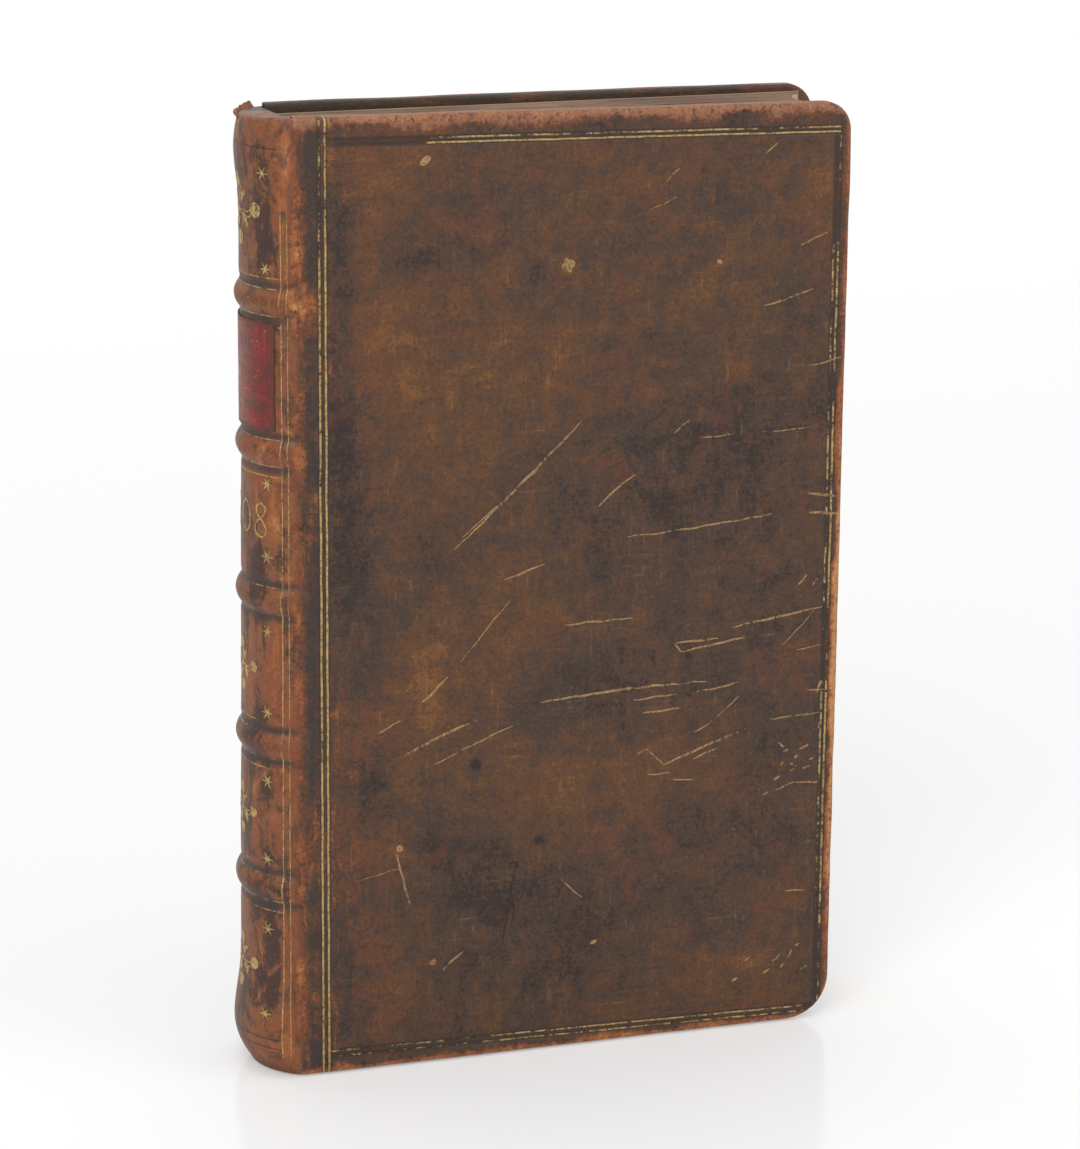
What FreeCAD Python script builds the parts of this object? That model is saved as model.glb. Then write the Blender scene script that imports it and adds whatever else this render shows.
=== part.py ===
import FreeCAD, Part
import math
import os

os.makedirs("parts", exist_ok=True)

# A small calf-bound book standing on its tail edge. All sizes are in mm.
# x runs from the spine to the fore-edge, y from the front cover to the rear
# cover, z from the tail to the head. The origin is under the middle of the book.

# Covers, and how far each head edge falls towards the fore-edge
cover_width = 101.8
front_fall = 1.4
rear_drop = 0.4
rear_fall = 0.5
book_thickness = 22.3
head_corner_radius = 5.0
tail_corner_radius = 8.0

# Layers of a cover, from the outside in
leather_thickness = 0.8
board_thickness = 1.9
turned_leather = 0.4
paper_thickness = 0.15
turn_in_width = 12.0
pastedown_margin = 3.0
outer_edge_bevel = 0.7
inner_edge_bevel = 0.35
smallest_corner = 0.6

# The joint: clearance each side of the joint line, and where board and shoulder start
joint_clearance = 0.15
spine_side_clearance = 0.3
cover_clearance = 0.15
board_setback = 0.35
shoulder_setback = 0.4

# Leaves
leaf_height = 168.4
tail_square = 2.2
head_square = 2.2
fore_edge_square = 3.0
fore_edge_hollow = 3.5

# Rounded spine, its sewing cords and its leather
spine_round = 6.5
spine_leather = 0.7
spine_lining = 0.35
cord_radius = 1.2
cord_top_half_width = 0.6
cord_count = 5
tail_compartment = 33.1
head_compartment = 29.8
band_flank_angle = 24.0
tail_swell = 0.95
tail_swell_start = 20.0
tail_swell_end = 113.0

# Tail cap: it bulges out just above the floor and tucks in under the spine
tail_bulge = 2.2
tail_bulge_height = 8.0
tail_tuck = 0.4
tail_cap_bevel = 0.8
tail_cap_thickness = 0.7

# Head cap over the headband: it flares, slopes to the rear and has a torn lip along its rear rim
headband_height = 0.6
head_cap_thickness = 0.4
head_cap_slope = 1.0
head_flare = 0.75
head_flare_length = 10.0
head_flare_drop = 6.0
head_cap_bevel = 0.9
head_cap_draw_in = 0.65
lip_thickness = 0.4
lip_lean = 0.5
lip_root_depth = 0.5
lip_start_angle = 4.0
lip_end_angle = 54.0
lip_rise_middle = 0.3
lip_rise_rear = 1.15

# Cord ends laced into the boards
slip_length = 12.0
slip_end_half_width = 2.0
slip_depth = 0.9
lacing_slit_length = 2.2

# Endbands, title label and the double lines tooled round each cover
endband_overhang = 0.8
label_thickness = 0.25
label_margin = 0.9
label_half_angle = 44.5
line_width = 0.3
line_spacing = 0.9
line_depth = 0.12
line_fore_inset = 2.4
line_tail_inset = 2.3
line_head_inset = 3.4
line_joint_inset = 4.4

# Places worked out from the sizes above
overall_depth = spine_round + tail_bulge + cover_width
joint_x = spine_round + tail_bulge - overall_depth / 2
fore_x = joint_x + cover_width
half_thickness = book_thickness / 2
spine_radius = (half_thickness ** 2 + spine_round ** 2) / (2 * spine_round)
spine_axis_x = joint_x + spine_radius - spine_round
core_radius = spine_radius - spine_leather
back_radius = core_radius - spine_lining
shoulder_x = joint_x - shoulder_setback
leaf_x = fore_x - fore_edge_square
leaf_head = tail_square + leaf_height
front_height = leaf_head + head_square
rear_height = front_height - rear_drop
head_cap_floor = leaf_head + headband_height
head_cap_rear = head_cap_floor + head_cap_thickness
head_cap_front = head_cap_rear + head_cap_slope
cord_spacing = (leaf_height - tail_compartment - head_compartment) / (cord_count - 1)
cord_heights = [tail_square + tail_compartment + cord_spacing * i for i in range(cord_count)]
board_depth = leather_thickness
turn_in_depth = board_depth + board_thickness
paper_depth = turn_in_depth + turned_leather
endpaper_depth = paper_depth + paper_thickness + cover_clearance
block_depth = endpaper_depth + paper_thickness
block_half = half_thickness - block_depth
beyond = 5.0
sweep_half_angle = 75.0


def point(x, y, z):
    return FreeCAD.Vector(x, y, z)


def box(x_low, x_high, y_low, y_high, z_low, z_high):
    size = (x_high - x_low, y_high - y_low, z_high - z_low)
    return Part.makeBox(*size, point(x_low, y_low, z_low))


def spine_point(radius, z):
    # a point of a profile on the spine's middle plane, by its distance from the spine axis
    return point(spine_axis_x - radius, 0, z)


def line(start, end):
    return Part.LineSegment(start, end).toShape()


def arc(start, middle, end):
    return Part.Arc(start, middle, end).toShape()


def arc_about(centre, radius, start_angle, end_angle):
    # an arc of a spine profile; angle 0 points away from the spine axis, 90 points up
    ends = []
    for angle in (start_angle, (start_angle + end_angle) / 2, end_angle):
        turn = math.radians(angle)
        ends.append(spine_point(centre[0] + radius * math.cos(turn), centre[1] + radius * math.sin(turn)))
    return arc(*ends)


def upright_bow(upright, other):
    # an arc that is upright at its first end; both ends are (radius, z)
    across = upright[0] - other[0]
    along = other[1] - upright[1]
    bow_radius = (across ** 2 + along ** 2) / (2 * across)
    turn = math.degrees(math.atan2(along, bow_radius - across))
    return arc_about((upright[0] - bow_radius, upright[1]), bow_radius, 0, turn)


def swept_round(edges):
    # turn a closed spine profile about the spine axis, to both sides of the middle plane
    face = Part.Face(Part.Wire(Part.sortEdges(edges)[0]))
    face.rotate(point(spine_axis_x, 0, 0), point(0, 0, 1), -sweep_half_angle)
    return face.revolve(point(spine_axis_x, 0, 0), point(0, 0, 1), 2 * sweep_half_angle)


def swept_polygon(places):
    # a straight-sided spine profile, given as (radius, z) corners, swept round
    corners = [spine_point(*place) for place in places]
    return swept_round([line(corners[i - 1], corners[i]) for i in range(len(corners))])


def ring(inner_radius, outer_radius, z_low, z_high):
    places = [(inner_radius, z_low), (outer_radius, z_low), (outer_radius, z_high), (inner_radius, z_high)]
    return swept_polygon(places)


def sector(start_angle, end_angle):
    # a tall wedge about the spine axis; angle 0 is the middle plane, positive to the rear
    reach = 2 * spine_radius
    start = math.radians(start_angle)
    end = math.radians(end_angle)
    axis_foot = point(spine_axis_x, 0, -beyond)
    first = point(spine_axis_x - reach * math.cos(start), reach * math.sin(start), -beyond)
    last = point(spine_axis_x - reach * math.cos(end), reach * math.sin(end), -beyond)
    wedge = Part.Face(Part.makePolygon([axis_foot, first, last, axis_foot]))
    return wedge.extrude(point(0, 0, front_height + 2 * beyond))


def behind(x_high, side_clearance):
    # the room behind the plane x_high and inside both outer faces
    side = half_thickness - side_clearance
    return box(spine_axis_x - 2 * spine_radius, x_high, -side, side, -beyond, front_height + beyond)


def above_slope(y_start, z_start, y_end, z_end):
    # everything above a plane that runs through two heights, across the whole spine
    rise = (z_end - z_start) / (y_end - y_start)
    side = half_thickness + beyond
    top = front_height + 2 * beyond
    x_low = spine_axis_x - 2 * spine_radius
    corners = [
        point(x_low, -side, z_start + rise * (-side - y_start)),
        point(x_low, side, z_start + rise * (side - y_start)),
        point(x_low, side, top),
        point(x_low, -side, top),
    ]
    return Part.Face(Part.makePolygon(corners + corners[:1])).extrude(point(4 * spine_radius, 0, 0))


def panel_radius(z):
    # the spine leather stands out a little more towards the tail
    share = (tail_swell_end - z) / (tail_swell_end - tail_swell_start)
    return spine_radius + tail_swell * min(max(share, 0.0), 1.0)


def band_half_height():
    # from the middle of a band to where its straight flank meets the panel
    flank = math.radians(band_flank_angle)
    dome = cord_radius + spine_leather
    flank_rise = back_radius + dome * math.cos(flank) - spine_radius
    return dome * math.sin(flank) + flank_rise / math.tan(flank)


def band_edges(height):
    # a raised band: flank, round top over the cord, flank
    radius = panel_radius(height)
    flank = math.radians(band_flank_angle)
    dome = cord_radius + spine_leather
    dome_centre = radius - spine_radius + back_radius
    shoulder = dome_centre + dome * math.cos(flank)
    half_top = dome * math.sin(flank)
    half = band_half_height()
    return [
        line(spine_point(radius, height - half), spine_point(shoulder, height - half_top)),
        arc_about((dome_centre, height), dome, -band_flank_angle, band_flank_angle),
        line(spine_point(shoulder, height + half_top), spine_point(radius, height + half)),
    ]


def spine_profile():
    # the outside of the spine, from the tail cap over the five bands to the head cap
    tail_edge = spine_radius - tail_tuck
    tail_foot = spine_point(tail_edge - tail_cap_bevel, 0)
    bulge = (spine_radius + tail_bulge, tail_bulge_height)
    half = band_half_height()
    edges = [
        line(spine_point(0, 0), tail_foot),
        line(tail_foot, spine_point(tail_edge, tail_cap_bevel)),
        upright_bow(bulge, (tail_edge, tail_cap_bevel)),
    ]
    last = spine_point(panel_radius(tail_swell_start), tail_swell_start)
    edges.append(line(spine_point(*bulge), last))
    for height in cord_heights:
        foot = spine_point(panel_radius(height), height - half)
        edges.append(line(last, foot))
        edges += band_edges(height)
        last = spine_point(panel_radius(height), height + half)
    flare = (spine_radius + head_flare, head_cap_front - head_flare_drop)
    cap_edge = (flare[0] - head_cap_draw_in, head_cap_front - head_cap_bevel)
    places = [
        (spine_radius, flare[1] - head_flare_length),
        flare,
        cap_edge,
        (cap_edge[0] - head_cap_bevel, head_cap_front),
        (0, head_cap_front),
        (0, 0),
    ]
    for place in places:
        edges.append(line(last, spine_point(*place)))
        last = spine_point(*place)
    return edges


def torn_lip():
    # the edge of leather that stands up along the rear rim of the head cap
    rim = spine_radius + head_flare - head_cap_draw_in
    foot = head_cap_rear - lip_root_depth
    top = head_cap_rear + 2 * lip_rise_rear
    places = [(rim - lip_thickness, foot), (rim, foot), (rim + lip_lean, top), (rim + lip_lean - lip_thickness, top)]
    lip = swept_polygon(places).common(sector(lip_start_angle, lip_end_angle))
    return lip.cut(above_slope(0, head_cap_rear + lip_rise_middle, half_thickness, head_cap_rear + lip_rise_rear))


def cord_path(height):
    # a cord bedded on the back of the leaves, its top hammered flat
    places = [
        (back_radius, height - cord_radius),
        (back_radius + cord_radius, height - cord_top_half_width),
        (back_radius + cord_radius, height + cord_top_half_width),
        (back_radius, height + cord_radius),
    ]
    return swept_polygon(places)


def make_cord(height):
    return cord_path(height).common(behind(shoulder_x, spine_side_clearance + spine_leather))


def make_spine_leather():
    outside = swept_round(spine_profile())
    outside = outside.cut(above_slope(-half_thickness, head_cap_front, half_thickness, head_cap_rear))
    outside = outside.fuse(torn_lip())
    outside = outside.common(behind(joint_x - joint_clearance, spine_side_clearance))
    inside = ring(0, core_radius, tail_cap_thickness, head_cap_floor)
    return outside.cut([inside] + [cord_path(height) for height in cord_heights]).removeSplitter()


def make_text_block():
    # leaves sewn, rounded and backed: round back with shoulders, hollow fore-edge
    shoulder_y = math.sqrt(back_radius ** 2 - (spine_axis_x - shoulder_x) ** 2)
    z = tail_square
    front_fore = point(leaf_x, -block_half, z)
    rear_fore = point(leaf_x, block_half, z)
    hollow = point(leaf_x - fore_edge_hollow, 0, z)
    rear_face_end = point(shoulder_x, block_half, z)
    rear_shoulder = point(shoulder_x, shoulder_y, z)
    back = point(spine_axis_x - back_radius, 0, z)
    front_shoulder = point(shoulder_x, -shoulder_y, z)
    front_face_end = point(shoulder_x, -block_half, z)
    edges = [
        arc(front_fore, hollow, rear_fore),
        line(rear_fore, rear_face_end),
        line(rear_face_end, rear_shoulder),
        arc(rear_shoulder, back, front_shoulder),
        line(front_shoulder, front_face_end),
        line(front_face_end, front_fore),
    ]
    return Part.Face(Part.Wire(edges)).extrude(point(0, 0, leaf_height))


def make_linings():
    # strips of lining between the cords, on the back of the leaves
    linings = []
    z_low = tail_square
    for height in cord_heights + [leaf_head + cord_radius]:
        strip = ring(back_radius, core_radius, z_low, height - cord_radius)
        linings.append(strip.common(behind(shoulder_x, spine_side_clearance)))
        z_low = height + cord_radius
    return linings


def make_endband(z_low, z_high):
    # a band sewn along the end of the back
    band = ring(back_radius - (z_high - z_low) - endband_overhang, back_radius, z_low, z_high)
    return band.common(behind(shoulder_x, spine_side_clearance))


def make_label():
    z_low = cord_heights[-2] + band_half_height() + label_margin
    z_high = cord_heights[-1] - band_half_height() - label_margin
    strip = ring(spine_radius, spine_radius + label_thickness, z_low, z_high)
    return strip.common(sector(-label_half_angle, label_half_angle))


def cover_slab(height, fall, insets, spine_x, depths, rounded=True):
    # a slab with a cover's outline; insets are (fore-edge, tail, head), depths run inwards
    fore, tail, head = insets
    y_low = -half_thickness + depths[0]
    x_high = fore_x - fore
    slope = fall / cover_width
    corners = [
        point(spine_x, y_low, tail),
        point(x_high, y_low, tail),
        point(x_high, y_low, height - slope * (x_high - joint_x) - head),
        point(spine_x, y_low, height - slope * (spine_x - joint_x) - head),
    ]
    slab = Part.Face(Part.makePolygon(corners + corners[:1])).extrude(point(0, depths[1] - depths[0], 0))
    if rounded:
        for low, radius, inset in ((True, tail_corner_radius, tail), (False, head_corner_radius, head)):
            upright = [e for e in slab.Edges if is_corner(e, x_high, height / 2, low)]
            slab = slab.makeFillet(max(radius - inset, smallest_corner), upright)
    return slab


def is_corner(edge, x_high, middle, low):
    # a fore-edge corner: an edge that runs through the slab, below or above its middle
    bounds = edge.BoundBox
    across = bounds.YLength > 10 * (bounds.XLength + bounds.ZLength)
    return across and abs(bounds.XMax - x_high) < 1e-4 and (bounds.ZMax < middle) == low


def even(inset):
    return (inset, inset, inset)


def rim_edges(slab, depth, spine_x):
    # the edges round one face of a cover, without the one along the joint
    y = -half_thickness + depth
    found = []
    for edge in slab.Edges:
        bounds = edge.BoundBox
        on_face = abs(bounds.YMin - y) < 1e-4 and abs(bounds.YMax - y) < 1e-4
        if on_face and bounds.XMax > spine_x + 1e-4:
            found.append(edge)
    return found


def make_slip(height):
    # the flattened end of a cord: it widens along the board, then goes in through a slit
    x_start = joint_x + joint_clearance
    x_end = joint_x + slip_length
    y = -half_thickness + board_depth
    corners = [
        point(x_start, y, height - cord_radius),
        point(x_end, y, height - slip_end_half_width),
        point(x_end, y, height + slip_end_half_width),
        point(x_start, y, height + cord_radius),
    ]
    tongue = Part.Face(Part.makePolygon(corners + corners[:1])).extrude(point(0, slip_depth, 0))
    slit = (height - cord_radius, height + cord_radius)
    through = box(x_end - lacing_slit_length, x_end, y, y + board_thickness, *slit)
    return tongue.fuse(through).removeSplitter()


def tooled_lines(height, fall):
    # two fine lines pressed round the outside of a cover
    grooves = []
    for step in (0, line_spacing):
        frames = []
        for grow in (0, line_width):
            inner = step + grow
            insets = (line_fore_inset + inner, line_tail_inset + inner, line_head_inset + inner)
            spine_x = joint_x + line_joint_inset + inner
            depths = (-line_depth, line_depth)
            frames.append(cover_slab(height, fall, insets, spine_x, depths, False))
        grooves.append(frames[0].cut(frames[1]))
    return grooves


def make_cover_leather(height, fall):
    # leather over the board, turned in at the head, tail and fore-edge
    spine_x = joint_x + joint_clearance
    past_joint = joint_x - beyond
    leather = cover_slab(height, fall, even(0), spine_x, (0, paper_depth))
    leather = leather.makeChamfer(outer_edge_bevel, rim_edges(leather, 0, spine_x))
    leather = leather.makeChamfer(inner_edge_bevel, rim_edges(leather, paper_depth, spine_x))
    board_room = cover_slab(height, fall, even(leather_thickness), past_joint, (board_depth, turn_in_depth))
    turn_in_room = cover_slab(height, fall, even(turn_in_width), past_joint, (turn_in_depth, paper_depth))
    return leather.cut([board_room, turn_in_room] + tooled_lines(height, fall))


def make_board(height, fall, slips):
    depths = (board_depth, turn_in_depth)
    board = cover_slab(height, fall, even(leather_thickness), joint_x + board_setback, depths)
    return board.cut(slips)


def make_pastedown(height, fall):
    # the sheet pasted inside a cover, with the filling inside the turned-in leather
    spine_x = joint_x + board_setback
    filling = cover_slab(height, fall, even(turn_in_width), spine_x, (turn_in_depth, paper_depth))
    sheet_depths = (paper_depth, paper_depth + paper_thickness)
    sheet = cover_slab(height, fall, even(pastedown_margin), spine_x, sheet_depths)
    return filling.fuse(sheet).removeSplitter()


def make_free_endpaper():
    y_low = -half_thickness + endpaper_depth
    return box(shoulder_x, leaf_x, y_low, y_low + paper_thickness, tail_square, leaf_head)


def to_rear(shape):
    return shape.mirror(point(0, 0, 0), point(0, 1, 0))


def keep(name, shape):
    solids = shape.Solids
    solid = solids[0] if len(solids) == 1 else shape
    solid.exportStep("parts/" + name + ".step")
    print(name, len(solids), round(solid.Volume, 1), solid.isValid())


def make_root():
    keep("text_block", make_text_block())
    for number, height in enumerate(cord_heights, 1):
        keep("sewing_cord_" + str(number), make_cord(height))
    for number, lining in enumerate(make_linings(), 1):
        keep("spine_lining_" + str(number), lining)
    keep("headband", make_endband(leaf_head, head_cap_floor))
    keep("tailband", make_endband(tail_cap_thickness, tail_square))
    keep("spine_leather", make_spine_leather())
    keep("title_label", make_label())
    keep("front_free_endpaper", make_free_endpaper())
    keep("rear_free_endpaper", to_rear(make_free_endpaper()))


def make_cover(side, height, fall, placed):
    slips = [make_slip(cord_height) for cord_height in cord_heights]
    for number, slip in enumerate(slips, 1):
        keep(side + "_cord_slip_" + str(number), placed(slip))
    keep(side + "_board", placed(make_board(height, fall, slips)))
    keep(side + "_leather", placed(make_cover_leather(height, fall)))
    keep(side + "_pastedown", placed(make_pastedown(height, fall)))


make_root()
make_cover("front", front_height, front_fall, lambda shape: shape)
make_cover("rear", rear_height, rear_fall, to_rear)
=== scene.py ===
import math

import bmesh
import bpy
from mathutils import Matrix, Vector, noise


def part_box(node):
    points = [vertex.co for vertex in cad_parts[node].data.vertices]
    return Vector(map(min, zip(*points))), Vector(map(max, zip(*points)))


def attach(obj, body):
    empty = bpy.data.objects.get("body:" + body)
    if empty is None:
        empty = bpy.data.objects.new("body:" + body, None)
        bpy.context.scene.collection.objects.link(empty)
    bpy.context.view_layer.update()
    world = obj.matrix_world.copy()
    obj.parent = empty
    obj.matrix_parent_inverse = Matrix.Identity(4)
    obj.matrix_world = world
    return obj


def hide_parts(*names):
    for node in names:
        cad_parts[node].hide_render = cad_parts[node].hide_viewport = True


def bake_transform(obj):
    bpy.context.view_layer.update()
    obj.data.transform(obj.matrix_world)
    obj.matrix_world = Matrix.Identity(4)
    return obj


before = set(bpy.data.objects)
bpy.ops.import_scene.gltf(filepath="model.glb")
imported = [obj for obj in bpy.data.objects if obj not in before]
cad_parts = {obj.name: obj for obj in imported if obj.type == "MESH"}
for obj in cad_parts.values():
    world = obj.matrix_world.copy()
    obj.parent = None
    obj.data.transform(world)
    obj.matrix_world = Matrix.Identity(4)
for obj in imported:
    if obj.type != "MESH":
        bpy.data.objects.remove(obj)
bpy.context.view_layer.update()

# The book stands on its tail edge. x runs from the spine to the fore-edge,
# y from the front cover to the rear cover, z up to the head.
mm = 0.001
near = 0.02 * mm

book = {
    "jointX": -46.55,          # where the covers turn, in mm like the rest here
    "spineAxisX": -40.237,
    "spineRadius": 12.813,
    "halfThickness": 11.15,
    "coverWidth": 101.8,
    "headZ": {-1: 172.8, 1: 172.4},      # front, rear
    "headFall": {-1: 1.4, 1: 0.5},
    "cordHeights": [35.3 + 26.375 * i for i in range(5)],
    "rim": 1.0,                # rounding of the cover edges
}


# small helpers

def deselectAll():
    if bpy.context.mode != "OBJECT":
        bpy.ops.object.mode_set(mode="OBJECT")
    bpy.ops.object.select_all(action="DESELECT")


def pick(*pieces):
    deselectAll()
    for piece in pieces:
        piece.select_set(True)
    bpy.context.view_layer.objects.active = pieces[-1]


def startEdit(piece):
    pick(piece)
    bpy.ops.object.mode_set(mode="EDIT")


def endEdit():
    bpy.ops.object.mode_set(mode="OBJECT")


def endOutward():
    # turn all faces outward and leave edit mode
    bpy.ops.mesh.select_all(action="SELECT")
    bpy.ops.mesh.normals_make_consistent(inside=False)
    endEdit()


def markItems(piece, kind, test):
    # select what passes the test; it gets the corner places and the item
    bpy.ops.mesh.select_mode(type=kind)
    bpy.ops.mesh.select_all(action="DESELECT")
    shape = bmesh.from_edit_mesh(piece.data)
    items = {"VERT": shape.verts, "EDGE": shape.edges, "FACE": shape.faces}[kind]
    for item in items:
        corners = [item.co] if kind == "VERT" else [corner.co for corner in item.verts]
        if test(corners, item):
            item.select_set(True)
    shape.select_flush_mode()
    bmesh.update_edit_mesh(piece.data, loop_triangles=False, destructive=False)


def cutAt(place, normal):
    bpy.ops.mesh.select_all(action="SELECT")
    bpy.ops.mesh.bisect(plane_co=place, plane_no=normal)


def shapeWith(piece, kind, **settings):
    pick(piece)
    step = piece.modifiers.new(kind.title(), kind)
    for name, value in settings.items():
        setattr(step, name, value)
    bpy.ops.object.modifier_apply(modifier=step.name)


def addGrid(name, across, up):
    deselectAll()
    bpy.ops.mesh.primitive_grid_add(x_subdivisions=across, y_subdivisions=up, size=1)
    piece = bpy.context.object
    piece.name = name
    return piece


def joinAll(pieces, name):
    pick(*pieces)
    if len(pieces) > 1:
        bpy.ops.object.join()
    joined = bpy.context.object
    joined.name = name
    joined.data.name = name
    return joined


def cloned(piece):
    twin = piece.copy()
    twin.data = piece.data.copy()
    bpy.context.collection.objects.link(twin)
    return twin


def smoothed(piece, angle=42):
    pick(piece)
    bpy.ops.object.shade_smooth_by_angle(angle=math.radians(angle))


def soft(value, low, high):
    # 0 at low, 1 at high, smooth between
    share = min(max((value - low) / (high - low), 0.0), 1.0)
    return share * share * (3 - 2 * share)


def bell(value, half):
    # 1 at zero, falling to either side
    return math.exp(-(value / half) ** 2)


def ripple(x, y, z, size, shift=0.0):
    return noise.noise(Vector((x / size + shift, y / size - shift, z / size)))


def lower(a, b, blend):
    # the lower of two values, rounded where they meet
    share = max(blend - abs(a - b), 0.0) / blend
    return min(a, b) - share * share * blend / 4


# the lie of the leather

tooling = {
    # lines on a cover: distance from the joint, or height at the joint and rise per mm
    "upright": [4.35, 5.4, 98.7, 99.55],
    "level": [(168.9, -0.018), (168.05, -0.018), (3.3, -0.018), (4.3, -0.018)],
    "reach": (5.4, 99.55),
    "fenceZ": (1.6, 167.3),
    "halfWidth": 0.22,
    "pressed": 0.1,
}

coverLie = {
    "swells": [(0.13, 7, 33), (0.055, 5, 10), (0.025, 1, 3.4)],      # height, place in the noise, size
    "cordEnd": 0.34,           # how far the cord ends stand out
    "cordHalf": 2.0,
    "cordReach": (0.5, 7.0),   # where they sink in, from the joint
    "hollow": 0.12,            # the hollow beside the joint: depth, place, half width
    "hollowX": 3.0,
    "hollowHalf": 1.3,
    "drop": 0.55,              # how far the edge at the joint is pressed in
    "dropReach": (0.9, 2.4),
}


def coverLift(x, z, side):
    # how far the leather of a cover stands off its board, in mm
    t = coverLie
    lift = sum(high * ripple(x, side * place, z, size) for high, place, size in t["swells"])
    for height in book["cordHeights"]:
        lift += t["cordEnd"] * (1 - soft(x, *t["cordReach"])) * bell(z - height, t["cordHalf"])
    return lift - t["hollow"] * bell(x - t["hollowX"], t["hollowHalf"])


def jointDrop(fromJoint):
    return coverLie["drop"] * (1 - soft(fromJoint, *coverLie["dropReach"]))


def coverTop(x, side):
    return book["headZ"][side] - book["headFall"][side] * max(x, 0) / book["coverWidth"]


def boardFace(x, z, side):
    # distance of the cover's outer surface from the middle plane, with its rounded rims
    rim = book["rim"]
    face = book["halfThickness"] + coverLift(x, z, side)
    for over in (z - (coverTop(x, side) - rim), rim - z):
        if over > 0:
            face -= rim - math.sqrt(max(rim ** 2 - min(over, rim) ** 2, 0))
    return face


spineShape = {
    "tailSwell": 0.95,
    "tailSwellZ": 113,         # where the panels start to swell towards the tail
    "swellLength": 93,
    "tailBulge": 2.2,
    "tailBulgeZ": 8.0,
    "bulgeTop": 20,
    "tailBow": 11.27,
    "headFlare": 0.75,
    "flareZ": (156.5, 166.6),
    "headBow": 20.3,
    "bandHeight": 0.92,
    "bandHalf": 2.15,
    "creaseDepth": 0.16,
    "creaseAt": 3.0,
    "creaseHalf": 0.5,
    "halfAngle": 78.0,
    "steps": 78,
    "wander": [(0.1, 16, 0), (0.05, 5, 3.1), (0.02, 1.8, 1.7)],      # height, size, shift in the noise
    "room": 0.1,               # left for an opened cover
}


def spineReach(z):
    # radius of the spine's outside at a height, in mm
    s = spineShape
    radius = book["spineRadius"] + s["tailSwell"] * min(max((s["tailSwellZ"] - z) / s["swellLength"], 0), 1)
    if z < s["bulgeTop"]:
        swell = (s["tailBulge"] - s["tailSwell"]) * (1 - soft(z, s["tailBulgeZ"], s["bulgeTop"]))
        radius = book["spineRadius"] + s["tailSwell"] + swell
    if z < s["tailBulgeZ"]:
        down = s["tailBulgeZ"] - z
        tuck = s["tailBow"] - math.sqrt(s["tailBow"] ** 2 - down ** 2)
        radius = book["spineRadius"] + s["tailBulge"] - tuck
    radius += s["headFlare"] * soft(z, *s["flareZ"])
    if z > s["flareZ"][1]:
        up = z - s["flareZ"][1]
        radius -= s["headBow"] - math.sqrt(s["headBow"] ** 2 - up ** 2)
    for height in book["cordHeights"]:
        away = abs(z - height)
        if away < s["bandHalf"]:
            radius += s["bandHeight"] * math.cos(away / s["bandHalf"] * math.pi / 2) ** 0.75
        radius -= s["creaseDepth"] * bell(away - s["creaseAt"], s["creaseHalf"])
    return radius


def openRoom(fromJoint, z, side):
    # how far the spine may stand out beside the joint, so that the opened cover clears it, in mm
    opened = 2 * book["halfThickness"] - boardFace(-fromJoint, z, side) + jointDrop(-fromJoint)
    return opened - spineShape["room"]


def spinePlace(angle, z, off=0.0):
    # a point on the spine, in metres; the angle is 0 at the back and positive to the front
    turn = math.radians(angle)
    radius = spineReach(z) + off
    return Vector((book["spineAxisX"] - radius * math.cos(turn), -radius * math.sin(turn), z)) * mm


def leatherWander(x, y, z):
    # small unevenness of the hand-worked spine
    return sum(high * ripple(x, y, z, size, shift) for high, size, shift in spineShape["wander"])


# colour and wear laid on, kept in each mesh as attributes

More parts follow.
